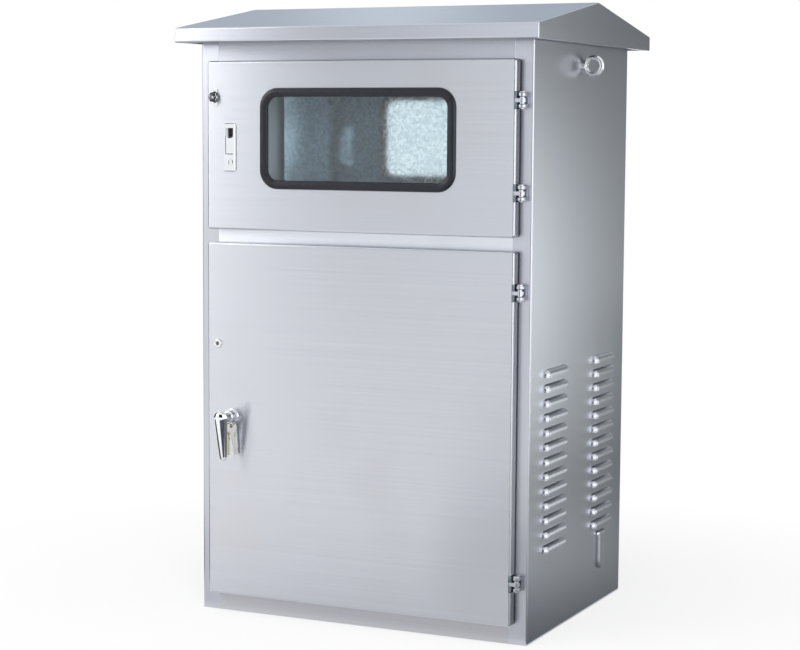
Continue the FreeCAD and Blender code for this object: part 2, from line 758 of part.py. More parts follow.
def seal_staple():
    """Flat eye on the left stile's return that stands through the upper door for a seal or padlock."""
    tip_y = DOOR_FACE_Y - STAPLE_OUT
    x0 = STAPLE_X - STAPLE_T / 2
    x1 = STAPLE_X + STAPLE_T / 2
    bar = box(x0, x1, tip_y + STAPLE_H / 2, RETURN_Y, STAPLE_Z - STAPLE_H / 2, STAPLE_Z + STAPLE_H / 2)
    nose = rod_x(x0, x1, tip_y + STAPLE_H / 2, STAPLE_Z, STAPLE_H / 2)
    hole = rod_x(x0, x1, tip_y + STAPLE_H / 2, STAPLE_Z, STAPLE_HOLE_R)
    return bar.fuse(nose).cut(hole).removeSplitter()


# Hinges

def hinge_heights(door):
    """Heights of a door's two hinges, the upper one first."""
    z0, z1 = DOOR_SPANS[door]
    return z1 - HINGE_TOP, z0 + HINGE_BOTTOM


def hinge_ear(z0):
    """Ear from the bracket's base out to the pin, with a round end and bevelled edges."""
    ear = box(PIN_X - EAR_R, PIN_X + EAR_R, PIN_Y, FRONT_Y, z0, z0 + EAR_T)
    ear = ear.fuse(rod_z(z0, z0 + EAR_T, PIN_X, PIN_Y, EAR_R)).removeSplitter()
    level = [edge for edge in ear.Edges
             if edge.BoundBox.ZLength < EAR_BEVEL and edge.BoundBox.YMin < FRONT_Y - SHEET]
    return ear.makeChamfer(EAR_BEVEL, level)


def hinge_bracket(z):
    """Bracket on the frame: a base and two round-ended ears for the pin."""
    base = box(PIN_X - EAR_R, PIN_X + BRACKET_SIDE, FRONT_Y - BRACKET_T, FRONT_Y,
               z - HINGE_HALF, z + HINGE_HALF)
    ears = [hinge_ear(z - HINGE_HALF), hinge_ear(z + EAR_GAP / 2)]
    hole = rod_z(z - HINGE_HALF, z + HINGE_HALF, PIN_X, PIN_Y, PIN_R + FIT_CLEAR)
    return base.fuse(ears).cut(hole).removeSplitter()


def hinge_tongue(z):
    """Door half of a hinge: a flat bar welded inside the door, with a boss round the pin."""
    boss_half = EAR_GAP / 2 - SIDE_CLEAR
    y0 = PIN_Y - TONGUE_W / 2
    y1 = PIN_Y + TONGUE_W / 2
    bar = box(PIN_X - TONGUE_REACH, PIN_X, y0, y1, z - TONGUE_T / 2, z + TONGUE_T / 2)
    nose = rod_z(z - TONGUE_T / 2, z + TONGUE_T / 2, PIN_X, PIN_Y, TONGUE_W / 2)
    boss = rod_z(z - boss_half, z + boss_half, PIN_X, PIN_Y, BOSS_R)
    hole = rod_z(z - boss_half, z + boss_half, PIN_X, PIN_Y, PIN_R + RUN_CLEAR)
    return bar.fuse([nose, boss]).cut(hole).removeSplitter()


def hinge_pins():
    """Headed pins dropped into the brackets from above."""
    pins = []
    for door in DOOR_SPANS:
        for z in hinge_heights(door):
            shank = rod_z(z - HINGE_HALF - PIN_TAIL, z + HINGE_HALF, PIN_X, PIN_Y, PIN_R)
            head = rod_z(z + HINGE_HALF, z + HINGE_HALF + PIN_HEAD_T, PIN_X, PIN_Y, PIN_HEAD_R)
            pins.append(shank.fuse(head).removeSplitter())
    return Part.makeCompound(pins)


# Doors

def pressed_block(x, y0, y1, z0, z1, corner_r, edge_r):
    """Block with rounded upright corners and a rounded front edge all round."""
    block = box(-x, x, y0, y1, z0, z1)
    corners = [edge for edge in block.Edges if edge.BoundBox.YLength > (y1 - y0) / 2]
    block = block.makeFillet(corner_r, corners)
    front = [edge for edge in block.Edges if edge.BoundBox.YMax < y0 + edge_r]
    return block.makeFillet(edge_r, front)


def door_pan(door):
    """Pressed door sheet: face, flanges and return lips, notched for its hinge tongues."""
    z0, z1 = DOOR_SPANS[door]
    outer = pressed_block(DOOR_X, DOOR_FACE_Y, DOOR_BACK_Y, z0, z1, DOOR_CORNER_R, DOOR_EDGE_R)
    inner_x = DOOR_X - SHEET
    lip_y = DOOR_BACK_Y - SHEET
    inner_r = DOOR_CORNER_R - SHEET
    edge_r = DOOR_EDGE_R - SHEET
    inner = pressed_block(inner_x, DOOR_INNER_Y, lip_y, z0 + SHEET, z1 - SHEET, inner_r, edge_r)
    mouth_x = DOOR_X - DOOR_LIP
    mouth = box(-mouth_x, mouth_x, lip_y, DOOR_BACK_Y, z0 + DOOR_LIP, z1 - DOOR_LIP)
    cutters = [inner, mouth]
    for z in hinge_heights(door):
        half = HINGE_HALF + SHEET
        cutters.append(box(DOOR_X - NOTCH_DEPTH, DOOR_X, DOOR_FACE_Y, lip_y, z - half, z + half))
    return outer.cut(cutters)


def door_gasket(door):
    """Foam strip on the door's return lips, just clear of the frame."""
    z0, z1 = DOOR_SPANS[door]
    out = GASKET_INSET
    into = DOOR_LIP - GASKET_INSET
    rear = FRONT_Y - GASKET_CLEAR
    outer = box(-DOOR_X + out, DOOR_X - out, DOOR_BACK_Y, rear, z0 + out, z1 - out)
    return outer.cut(box(-DOOR_X + into, DOOR_X - into, DOOR_BACK_Y, rear, z0 + into, z1 - into))


def upper_door_panel():
    """Upper door sheet with its window, lock and staple cut-outs."""
    width = 2 * WINDOW_HALF_W
    height = 2 * WINDOW_HALF_H
    through = SHEET + 2 * CUT_PAST
    back = DOOR_INNER_Y + CUT_PAST
    window = door_plate(0, WINDOW_Z, back, width, height, WINDOW_R, through)
    lock_w = CUP_W + 2 * SIDE_CLEAR
    lock_h = CUP_H + 2 * SIDE_CLEAR
    lock = box(PLANE_X - lock_w / 2, PLANE_X + lock_w / 2, back - through, back,
               PLANE_Z - lock_h / 2, PLANE_Z + lock_h / 2)
    slot_x = STAPLE_T / 2 + SLOT_CLEAR
    slot_z = STAPLE_H / 2 + SLOT_CLEAR
    slot = box(STAPLE_X - slot_x, STAPLE_X + slot_x, back - through, back, STAPLE_Z - slot_z, STAPLE_Z + slot_z)
    return door_pan("upper").cut([window, lock, slot])


def lower_door_panel():
    """Lower door sheet with the handle and lock holes."""
    y0 = DOOR_FACE_Y - CUT_PAST
    y1 = DOOR_INNER_Y + CUT_PAST
    handle_hole = rod_y(y0, y1, HANDLE_X, HANDLE_AXIS_Z, BARREL_R + SIDE_CLEAR)
    lock_hole = rod_y(y0, y1, SMALL_X, SMALL_LOCK_Z, SMALL_BARREL_R + SIDE_CLEAR)
    return door_pan("lower").cut([handle_hole, lock_hole])


def slot_plate():
    """Thin escutcheon round the staple's slot."""
    inner_w = STAPLE_T + 2 * SLOT_CLEAR
    inner_h = STAPLE_H + 2 * SLOT_CLEAR
    size_x = inner_w + 2 * SLOT_PLATE_RIM
    size_z = inner_h + 2 * SLOT_PLATE_END
    plate = door_plate(STAPLE_X, STAPLE_Z, DOOR_FACE_Y, size_x, size_z, SLOT_PLATE_RIM, SLOT_PLATE_T)
    slot = box(STAPLE_X - inner_w / 2, STAPLE_X + inner_w / 2, DOOR_FACE_Y - SLOT_PLATE_T, DOOR_FACE_Y,
               STAPLE_Z - inner_h / 2, STAPLE_Z + inner_h / 2)
    return plate.cut(slot)


# Window

def rubber_section(edge_x):
    """Section of the window rubber: lobes in front and behind, a slot for the sheet and one for the glass."""
    face = DOOR_FACE_Y
    inner = DOOR_INNER_Y
    glass_front = (face + inner - GLASS_T) / 2
    glass_back = glass_front + GLASS_T
    web0 = edge_x - LINE_CLEAR - RUBBER_WEB
    web1 = edge_x - LINE_CLEAR
    tip_in = web0 - RUBBER_LIP
    tip_out = web1 + RUBBER_LIP
    middle = (web0 + web1) / 2
    groove0 = middle - FILLER_W / 2
    groove1 = middle + FILLER_W / 2
    crest = face - RUBBER_PROUD
    floor = crest + FILLER_DEPTH
    rear = inner + RUBBER_PROUD
    points = [
        Vector(tip_in, glass_front, 0), Vector((tip_in + groove0) / 2, crest, 0), Vector(groove0, crest, 0),
        Vector(groove1, crest, 0), Vector((tip_out + groove1) / 2, crest, 0), Vector(tip_out, face, 0),
    ]
    edges = [
        Part.makeLine(points[0], points[1]),
        Part.makeLine(points[1], points[2]),
        Part.makeLine(points[2], Vector(groove0, floor, 0)),
        Part.makeLine(Vector(groove0, floor, 0), Vector(groove1, floor, 0)),
        Part.makeLine(Vector(groove1, floor, 0), points[3]),
        Part.makeLine(points[3], points[4]),
        Part.makeLine(points[4], points[5]),
    ]
    lower = [
        points[5], Vector(web1, face, 0), Vector(web1, inner, 0), Vector(tip_out, inner, 0),
        Vector(middle + FILLER_W / 2, rear, 0), Vector(middle - FILLER_W / 2, rear, 0),
        Vector(tip_in, glass_back, 0), Vector(web0, glass_back, 0), Vector(web0, glass_front, 0), points[0],
    ]
    edges += [Part.makeLine(a, b) for a, b in zip(lower, lower[1:])]
    return Part.Face(Part.Wire(edges))


def filler_section(edge_x):
    """Section of the locking strip pressed into the rubber's groove, with a domed face."""
    middle = edge_x - LINE_CLEAR - RUBBER_WEB / 2
    crest = DOOR_FACE_Y - RUBBER_PROUD
    floor = crest + FILLER_DEPTH
    half = FILLER_W / 2 - FIT_CLEAR
    left = Vector(middle - half, crest, 0)
    right = Vector(middle + half, crest, 0)
    dome = Part.Arc(left, Vector(middle, crest - FILLER_RISE, 0), right).toShape()
    low_right = Vector(middle + half, floor, 0)
    low_left = Vector(middle - half, floor, 0)
    edges = [dome, Part.makeLine(right, low_right), Part.makeLine(low_right, low_left)]
    return Part.Face(Part.Wire(edges + [Part.makeLine(low_left, left)]))


def window_ring(section):
    """Carry a section round the window's cut-out."""
    ring = frame_sweep(section, WINDOW_HALF_W, WINDOW_HALF_H, WINDOW_R)
    return ring.translated(Vector(0, 0, WINDOW_Z))


def window_glass():
    """Clear pane held in the rubber's inner slot."""
    inset = 2 * LINE_CLEAR + RUBBER_WEB
    back = (DOOR_FACE_Y + DOOR_INNER_Y + GLASS_T) / 2
    width = 2 * (WINDOW_HALF_W - inset)
    height = 2 * (WINDOW_HALF_H - inset)
    return door_plate(0, WINDOW_Z, back, width, height, WINDOW_R - inset, GLASS_T)


# Locks

def cam(x, z, width, neck_r):
    """Flat latch arm that stands upright when open and reaches behind the stile when turned."""
    length = x + OPENING_X + CAM_PAST_STILE
    plate = rod_y(CAM_Y0, CAM_Y1, x, z, width / 2)
    arm = box(x - width / 2, x + width / 2, CAM_Y0, CAM_Y1, z, z + length - width / 2)
    nose = rod_y(CAM_Y0, CAM_Y1, x, z + length - width / 2, width / 2)
    hole = rod_y(CAM_Y0, CAM_Y1, x, z, neck_r + FIT_CLEAR)
    return plate.fuse([arm, nose]).cut(hole).removeSplitter()


def plug(x, z, r, head_y, neck_r):
    """Turning lock core: its face with a keyway, a neck for the cam and the rivet that holds it."""
    core = rod_y(head_y, CAM_Y0, x, z, r)
    neck = rod_y(CAM_Y0, CAM_Y1, x, z, neck_r)
    rivet = rod_y(CAM_Y1, CAM_Y1 + CAM_RIVET_T, x, z, r)
    half_h = r * KEYWAY_SHARE
    keyway = box(x - KEYWAY_W / 2, x + KEYWAY_W / 2, head_y, head_y + KEYWAY_DEPTH, z - half_h, z + half_h)
    return core.fuse([neck, rivet]).cut(keyway)


def plane_lock_housing():
    """Chrome lock body: bezel on the door's face, cup behind it, finger pocket above and key bore below."""
    bezel = door_plate(PLANE_X, PLANE_Z, DOOR_FACE_Y, PLANE_W, PLANE_H, PLANE_R, PLANE_PROUD)
    front_y = DOOR_FACE_Y - PLANE_PROUD
    front = [edge for edge in bezel.Edges if edge.BoundBox.YMax < front_y + PLANE_PROUD / 2]
    bezel = bezel.makeChamfer(PLANE_PROUD / 3, front)
    cup_y = DOOR_FACE_Y + CUP_DEPTH
    half_w = CUP_W / 2
    cup = box(PLANE_X - half_w, PLANE_X + half_w, DOOR_FACE_Y, cup_y, PLANE_Z - CUP_H / 2, PLANE_Z + CUP_H / 2)
    in_w = half_w - CUP_WALL
    pocket = box(PLANE_X - in_w, PLANE_X + in_w, front_y, cup_y - CUP_WALL,
                 PLANE_Z - POCKET_BOTTOM, PLANE_Z + POCKET_TOP)
    pivot = rod_x(PLANE_X - half_w, PLANE_X + half_w, DOOR_FACE_Y, PLANE_Z - PULL_PIVOT, TRUNNION_R + RUN_CLEAR)
    bore = rod_y(front_y, cup_y, PLANE_X, PLANE_Z - KEY_DROP, PLUG_R + RUN_CLEAR)
    return bezel.fuse(cup).cut([pocket, pivot, bore]).removeSplitter()


def plane_lock_lever():
    """Pull lever in the pocket: a barrel with trunnions, and a flat grip with a scooped upper edge."""
    pivot_z = PLANE_Z - PULL_PIVOT
    half_w = CUP_W / 2 - CUP_WALL - SIDE_CLEAR
    reach = CUP_W / 2 - SIDE_CLEAR
    y0 = DOOR_FACE_Y - PULL_T / 2
    y1 = DOOR_FACE_Y + PULL_T / 2
    top = PLANE_Z + PULL_TOP
    barrel = rod_x(PLANE_X - half_w, PLANE_X + half_w, DOOR_FACE_Y, pivot_z, PULL_T / 2)
    trunnion = rod_x(PLANE_X - reach, PLANE_X + reach, DOOR_FACE_Y, pivot_z, TRUNNION_R)
    grip = box(PLANE_X - half_w, PLANE_X + half_w, y0, y1, pivot_z, top)
    scoop = rod_y(y0, y1, PLANE_X, top + PULL_SCOOP_R - PULL_SCOOP, PULL_SCOOP_R)
    return barrel.fuse([trunnion, grip]).cut(scoop).removeSplitter()


def plane_lock_plug():
    """Key core of the plane lock, with a face ring in front of the bezel."""
    z = PLANE_Z - KEY_DROP
    seat_y = DOOR_FACE_Y - PLANE_PROUD - SIDE_CLEAR
    head_y = seat_y - PLUG_HEAD_T
    core = plug(PLANE_X, z, PLUG_R, head_y, CAM_NECK_R)
    ring = rod_y(head_y, seat_y, PLANE_X, z, PLUG_HEAD_R).cut(rod_y(head_y, seat_y, PLANE_X, z, PLUG_R))
    return core.fuse(ring).removeSplitter()


def lower_lock_body():
    """Small lock: a bevelled face on the door and a barrel through it."""
    face_y = DOOR_FACE_Y - SMALL_FACE_T
    disc = rod_y(face_y, DOOR_FACE_Y, SMALL_X, SMALL_LOCK_Z, SMALL_FACE_R)
    front = [edge for edge in disc.Edges if edge.BoundBox.YMax < face_y + SMALL_FACE_T / 2]
    disc = disc.makeChamfer(SMALL_FACE_T / 2, front)
    barrel = rod_y(DOOR_FACE_Y, DOOR_FACE_Y + SMALL_BARREL_L, SMALL_X, SMALL_LOCK_Z, SMALL_BARREL_R)
    bore = rod_y(face_y, DOOR_FACE_Y + SMALL_BARREL_L, SMALL_X, SMALL_LOCK_Z, SMALL_PLUG_R + RUN_CLEAR)
    return disc.fuse(barrel).cut(bore).removeSplitter()


def door_nut(x, z, across_flats, bore_r):
    """Nut on a lock barrel, against the inside of the door sheet."""
    nut = hex_nut(across_flats, LOCK_NUT_T, bore_r + FIT_CLEAR)
    return facing(nut, Vector(0, 1, 0), Vector(x, DOOR_INNER_Y, z))


# Drop handle

def handle_base():
    """Fixed rose on the door, with the collar that carries the key ring and the barrel through the sheet."""
    rose = rod_y(ROSE_Y, DOOR_FACE_Y, HANDLE_X, HANDLE_AXIS_Z, ROSE_R)
    front = [edge for edge in rose.Edges if edge.BoundBox.YMax < ROSE_Y + ROSE_T / 2]
    rose = rose.makeChamfer(ROSE_T / 2, front)
    collar = rod_y(COLLAR_Y, ROSE_Y, HANDLE_X, HANDLE_AXIS_Z, COLLAR_R)
    barrel_end = DOOR_FACE_Y + BARREL_L
    barrel = rod_y(DOOR_FACE_Y, barrel_end, HANDLE_X, HANDLE_AXIS_Z, BARREL_R)
    bore = rod_y(COLLAR_Y, barrel_end, HANDLE_X, HANDLE_AXIS_Z, SPINDLE_R + RUN_CLEAR)
    return rose.fuse([collar, barrel]).cut(bore).removeSplitter()


def grip_ring(down, half_w, half_t):
    """Oval section of the grip, a given way below the handle's axis; the grip leans to the door below."""
    lean = GRIP_LEAN * down / GRIP_DOWN
    centre = Vector(HANDLE_X, COLLAR_Y - SIDE_CLEAR - NECK_L + lean, HANDLE_AXIS_Z - down)
    return Part.Wire(Part.Ellipse(centre, half_w, half_t).toShape())


def handle_grip():
    """Tapered oval grip, lofted in short bands from the round head down to the round end."""
    rings = []
    last = math.radians(GRIP_END_ANGLE)
    for step in range(GRIP_BANDS + 1):
        angle = last * (1 - step / GRIP_BANDS)
        size = math.cos(angle)
        rings.append(grip_ring(-GRIP_UP * math.sin(angle), GRIP_W / 2 * size, GRIP_T / 2 * size))
    straight = GRIP_DOWN - GRIP_END_ROUND
    for step in range(GRIP_BANDS + 1):
        angle = last * step / GRIP_BANDS
        size = math.cos(angle)
        down = straight + GRIP_END_ROUND * math.sin(angle)
        rings.append(grip_ring(down, GRIP_END_W / 2 * size, GRIP_END_T / 2 * size))
    return Part.makeLoft(rings, True, True)


def handle_lever():
    """Drop handle: grip, neck and spindle in one casting, with a threaded end for the cam."""
    neck_y = COLLAR_Y - SIDE_CLEAR
    neck = rod_y(neck_y - NECK_L, neck_y, HANDLE_X, HANDLE_AXIS_Z, NECK_R)
    spindle = rod_y(neck_y, CAM_Y0, HANDLE_X, HANDLE_AXIS_Z, SPINDLE_R)
    tail = rod_y(CAM_Y0, CAM_Y1 + CAM_NUT_T + STUD_TAIL, HANDLE_X, HANDLE_AXIS_Z, CAM_NECK_R)
    return handle_grip().fuse([neck, spindle, tail]).removeSplitter()


def handle_cam_nut():
    """Nut that holds the handle's cam."""
    nut = hex_nut(CAM_NUT_AF, CAM_NUT_T, CAM_NECK_R + FIT_CLEAR)
    return facing(nut, Vector(0, 1, 0), Vector(HANDLE_X, CAM_Y1, HANDLE_AXIS_Z))


# Keys

def ring_centre():
    """Centre of the key ring, hung over the handle's collar."""
    return Vector(HANDLE_X, ROSE_Y - RING_FORWARD, HANDLE_AXIS_Z + COLLAR_R + FIT_CLEAR - RING_R)


def key_ring():
    """Flat-wire ring over the collar."""
    at = ring_centre()
    y0 = at.y - RING_T / 2
    y1 = at.y + RING_T / 2
    return rod_y(y0, y1, at.x, at.z, RING_R + RING_WIRE).cut(rod_y(y0, y1, at.x, at.z, RING_R))


def flat_key():
    """Key that hangs from its hole at the origin: round bow, blade and cut teeth, in the YZ plane."""
    half_t = KEY_T / 2
    bow = rod_x(-half_t, half_t, 0, -KEY_BOW_DROP, KEY_BOW_R)
    blade = box(-half_t, half_t, -KEY_BLADE_W / 2, KEY_BLADE_W / 2, -KEY_LENGTH, -KEY_BOW_DROP)
    hole = rod_x(-half_t, half_t, 0, 0, KEY_HOLE_R)
    first = KEY_BOW_DROP + KEY_BOW_R
    pitch = (KEY_LENGTH - first) / KEY_TEETH
    teeth = []
    for i in range(KEY_TEETH):
        z = -first - pitch * (i + 0.5)
        edge_y = KEY_BLADE_W / 2
        corners = [Vector(-half_t, edge_y, z + pitch / 2), Vector(-half_t, edge_y, z - pitch / 2)]
        corners.append(Vector(-half_t, edge_y - KEY_TOOTH, z))
        teeth.append(Part.Face(Part.makePolygon(corners + corners[:1])).extrude(Vector(KEY_T, 0, 0)))
    return bow.fuse(blade).cut([hole] + teeth).removeSplitter()


def key_lean(twist):
    """Angle at which a key's tip comes close to the door's face, for a key turned by twist."""
    room = (DOOR_FACE_Y - ring_centre().y - 2 * LINE_CLEAR) / math.cos(twist)
    reach = room - KEY_BLADE_W / 2 - KEY_T / 2 * abs(math.tan(twist))
    return math.degrees(math.asin(reach / KEY_LENGTH))


def hung_key(name):
    """One of the keys on the ring: the first hangs straight, and the second leans on the door."""
    first = name == "brass_key"
    at = ring_centre()
    twist = KEY_TWISTS[name]
    wire_r = RING_R + RING_WIRE / 2
    hang_z = at.z - math.sqrt(wire_r ** 2 - KEY_APART ** 2)
    lean = 0.0 if first else key_lean(math.radians(twist))
    key = flat_key().rotated(Vector(0, 0, 0), Vector(1, 0, 0), lean)
    key = key.rotated(Vector(0, 0, 0), Vector(0, 0, 1), twist)
    return key.translated(Vector(at.x - KEY_APART if first else at.x + KEY_APART, at.y, hang_z))


def rail_shapes():
    """The three front rails."""
    top = [(FRONT_Y, BODY_H), (FRONT_Y, UPPER_Z1), (RETURN_Y, UPPER_Z1)]
    mid = [(RETURN_Y, UPPER_Z0), (FRONT_Y, UPPER_Z0), (FRONT_Y, LOWER_Z1), (RETURN_Y, LOWER_Z1)]
    bottom = [(RETURN_Y, LOWER_Z0), (FRONT_Y, LOWER_Z0), (FRONT_Y, 0)]
    return {
        "top_rail": rail(top, UPPER_Z1 + FOLD_R, BODY_H),
        "mid_rail": rail(mid, LOWER_Z1 + FOLD_R, UPPER_Z0 - FOLD_R),
        "bottom_rail": rail(bottom, 0, LOWER_Z0 - FOLD_R),
    }


def hinge_shapes():
    """Brackets and tongues of every hinge."""
    shapes = {}
    for door in DOOR_SPANS:
        for place, z in zip(("top", "bottom"), hinge_heights(door)):
            shapes[f"{door}_hinge_bracket_{place}"] = hinge_bracket(z)
            shapes[f"{door}_hinge_tongue_{place}"] = hinge_tongue(z)
    return shapes


def build():
    """Every piece of the box, by name."""
    gable = roof_gable()
    saddle = roof_saddle()
    parts = {
        "side_panel_right": side_panel(True),
        "side_panel_left": mirrored_x(side_panel(False)),
        "back_panel": back_panel(),
        "floor_pan": floor_pan(),
        "top_pan": pan(BODY_H, -PAN_FLANGE_H).cut(rivet_holes()),
        "shelf_partition": shelf_partition(),
        "floor_cable_trim": cable_trim(CABLE_SLOT_W, CABLE_SLOT_D, SHEET),
        "shelf_cable_trim": cable_trim(CABLE_PASS_W, CABLE_PASS_D, SHELF_TOP),
        "rain_roof": rain_roof(),
        "roof_gable_right": gable,
        "roof_gable_left": mirrored_x(gable),
        "roof_saddle_right": saddle,
        "roof_saddle_left": mirrored_x(saddle),
        "roof_rivets": roof_rivets(),
        "meter_plate": mounting_plate("meter"),
        "lower_plate": mounting_plate("lower"),
        "plate_standoffs": plate_standoffs(),
        "plate_nuts": plate_nuts(),
        "earth_stud": earth_stud(),
        "earth_nut": earth_nut(),
        "eyebolts": eyebolts(),
        "eyebolt_nuts": eyebolt_nuts(),
        "seal_staple": seal_staple(),
        "hinge_pins": hinge_pins(),
        "upper_door_panel": upper_door_panel(),
        "upper_door_gasket": door_gasket("upper"),
        "lower_door_panel": lower_door_panel(),
        "lower_door_gasket": door_gasket("lower"),
        "seal_slot_plate": slot_plate(),
        "window_seal": window_ring(rubber_section),
        "window_filler": window_ring(filler_section),
        "window_glass": window_glass(),
        "plane_lock_housing": plane_lock_housing(),
        "plane_lock_lever": plane_lock_lever(),
        "plane_lock_plug": plane_lock_plug(),
        "plane_lock_cam": cam(PLANE_X, PLANE_Z - KEY_DROP, CAM_W, CAM_NECK_R),
        "lower_lock_body": lower_lock_body(),
        "lower_lock_nut": door_nut(SMALL_X, SMALL_LOCK_Z, SMALL_NUT_AF, SMALL_BARREL_R),
        "lower_lock_plug": plug(SMALL_X, SMALL_LOCK_Z, SMALL_PLUG_R, DOOR_FACE_Y - SMALL_FACE_T, SMALL_NECK_R),
        "lower_lock_cam": cam(SMALL_X, SMALL_LOCK_Z, SMALL_CAM_W, SMALL_NECK_R),
        "handle_base": handle_base(),
        "handle_nut": door_nut(HANDLE_X, HANDLE_AXIS_Z, HANDLE_NUT_AF, BARREL_R),
        "handle_lever": handle_lever(),
        "handle_cam": cam(HANDLE_X, HANDLE_AXIS_Z, CAM_W, CAM_NECK_R),
        "handle_cam_nut": handle_cam_nut(),
        "key_ring": key_ring(),
        "brass_key": hung_key("brass_key"),
        "nickel_key": hung_key("nickel_key"),
    }
    parts.update(rail_shapes())
    parts.update(hinge_shapes())
    return parts


os.makedirs("parts", exist_ok=True)
for node, shape in build().items():
    shape.exportStep(f"parts/{node}.step")
    print(node, "solids", len(shape.Solids), "valid", shape.isValid())
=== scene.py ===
# %% [markdown]
# # Electric meter box
# A floor-standing meter box of brushed stainless sheet: louvred sides, a gabled rain roof, a window door
# above and a tall door with a drop handle below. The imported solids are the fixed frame. This lesson gives
# each of them a finish and adds the pieces whose looks depend on a finer curve than the solids carry.

# %% Load the frame
import json
import math

import bmesh
import bpy
import numpy as np
from mathutils import Matrix, Vector


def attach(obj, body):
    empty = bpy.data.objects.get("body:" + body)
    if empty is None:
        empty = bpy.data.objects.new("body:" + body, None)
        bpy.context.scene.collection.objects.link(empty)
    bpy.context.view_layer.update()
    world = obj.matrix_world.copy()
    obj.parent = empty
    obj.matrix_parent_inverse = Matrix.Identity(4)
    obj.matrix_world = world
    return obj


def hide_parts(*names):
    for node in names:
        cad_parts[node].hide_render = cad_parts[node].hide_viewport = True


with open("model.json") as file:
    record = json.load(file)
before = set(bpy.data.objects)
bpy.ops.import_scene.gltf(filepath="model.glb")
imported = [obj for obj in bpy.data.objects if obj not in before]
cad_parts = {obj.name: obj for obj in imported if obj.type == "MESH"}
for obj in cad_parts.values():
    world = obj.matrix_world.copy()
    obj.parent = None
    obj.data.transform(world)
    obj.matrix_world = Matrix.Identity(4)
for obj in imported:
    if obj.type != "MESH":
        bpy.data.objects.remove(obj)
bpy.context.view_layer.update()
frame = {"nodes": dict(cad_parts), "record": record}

MM = 0.001

# %% [markdown]
# ## Camera
# The camera stands to the right of the box and a little above its middle, where the box's corners fall on
# the same places as in the photograph. A long lens keeps the upright edges almost parallel, as they are
# there. Its place and angles could be set by eye, but these were fitted to the corners, so they are
# written as numbers.

# %% Camera
CAMERA_AT = Vector((1.4558, -3.1798, 0.8255))
CAMERA_TURN = math.radians(25.10)
CAMERA_DIP = math.radians(5.58)
CAMERA_ROLL = math.radians(0.37)
LENS_MM = 90.66

camera = bpy.data.objects.new("camera", bpy.data.cameras.new("camera"))
camera.data.lens = LENS_MM
camera.data.sensor_fit = "HORIZONTAL"
turn = Matrix.Rotation(CAMERA_TURN, 4, "Z") @ Matrix.Rotation(math.pi / 2 - CAMERA_DIP, 4, "X")
camera.matrix_world = Matrix.Translation(CAMERA_AT) @ turn @ Matrix.Rotation(CAMERA_ROLL, 4, "Z")
scene = bpy.context.scene
scene.collection.objects.link(camera)
scene.camera = camera
scene.view_settings.view_transform = "Standard"
print("camera at", CAMERA_AT, "lens", LENS_MM)

# %% [markdown]
# ## Node helpers
# Every finish is a small tree of nodes. Trees can be drawn by hand in the node editor, but written ones
# can be read and made again. One helper adds a node, sets its options, and fills its inputs: a socket is
# linked, and anything else is set as the input's own value. The others are steps that most trees need.


# %% Node helpers
def add_node(tree, kind, options=None, **inputs):
    """Add a node; inputs are named as on the node, with _ for a space, or numbered as i0, i1 and so on."""
    node = tree.nodes.new(kind)
    for key, value in (options or {}).items():
        setattr(node, key, value)
    for key, value in inputs.items():
        numbered = key[0] == "i" and key[1:].isdigit()
        socket = node.inputs[int(key[1:])] if numbered else node.inputs[key.replace("_", " ")]
        if isinstance(value, bpy.types.NodeSocket):
            tree.links.new(value, socket)
        else:
            socket.default_value = value
    return node


def blank_material(name):
    """A material with only its output, returned with its tree and that output."""
    material = bpy.data.materials.new(name)
    material.use_nodes = True
    tree = material.node_tree
    tree.nodes.clear()
    return material, tree, add_node(tree, "ShaderNodeOutputMaterial")


def end_with(tree, out, kind, **inputs):
    """Add the shader that a tree ends with, and link it to the output."""
    shader = add_node(tree, kind, None, **inputs)
    tree.links.new(shader.outputs[0], out.inputs[0])


def maths(tree, operation, first, second):
    """Result of one sum of two values or sockets."""
    return add_node(tree, "ShaderNodeMath", {"operation": operation}, i0=first, i1=second).outputs[0]


def spread(tree, value, low, high):
    """Carry a 0 to 1 value to the span from low to high."""
    return add_node(tree, "ShaderNodeMapRange", None, Value=value, To_Min=low, To_Max=high).outputs[0]


# %% [markdown]
# ## Studio
# Steel shows little but its surroundings, so the studio matters as much as the finish. The sky is white
# wherever the camera, a reflection or the glass looks at it, and dimmer as a light. Cards stand and lie
# round the box, as a photographer's flags and reflectors do, because a plain white room would leave the
# sheets flat. Only reflections see them: graded ones shade the side wall, the roof and the doors, dark
# ones give the chrome its contrast, and a light one whitens the folds. Three lamps light what is matt,
# and two of them stay out of reflections.

# %% Sky
SKY_LIGHT = 0.55
WHITE = (1, 1, 1, 1)


def looked_at(tree):
    """1 where the camera, a reflection or the glass looks, and 0 for light that falls on things."""
    ray = add_node(tree, "ShaderNodeLightPath")
    seen = maths(tree, "MAXIMUM", ray.outputs["Is Camera Ray"], ray.outputs["Is Glossy Ray"])
    return maths(tree, "MAXIMUM", seen, ray.outputs["Is Transmission Ray"])


world = bpy.data.worlds.new("studio_sky")
scene.world = world
world.use_nodes = True
sky = world.node_tree
sky.nodes.clear()
sky_strength = spread(sky, looked_at(sky), SKY_LIGHT, 1.0)
sky_out = add_node(sky, "ShaderNodeOutputWorld")
end_with(sky, sky_out, "ShaderNodeBackground", Color=WHITE, Strength=sky_strength)
print("sky light", SKY_LIGHT)

# %% Floor
UNDER_BOX = 0.2
SHADOW_NEAR = 0.3
SHADOW_FAR = 1.1
PLAIN_NEAR = 0.72
FLOOR_WHITE = (0.9, 0.9, 0.9, 1)
FLOOR_REACH = 12.0
FLOOR_DROP = 0.0005
SQUARE = ((-1, -1), (1, -1), (1, 1), (-1, 1))


def object_place(tree):
    """Place of a point on its own piece, in metres."""
    return add_node(tree, "ShaderNodeTexCoord").outputs["Object"]


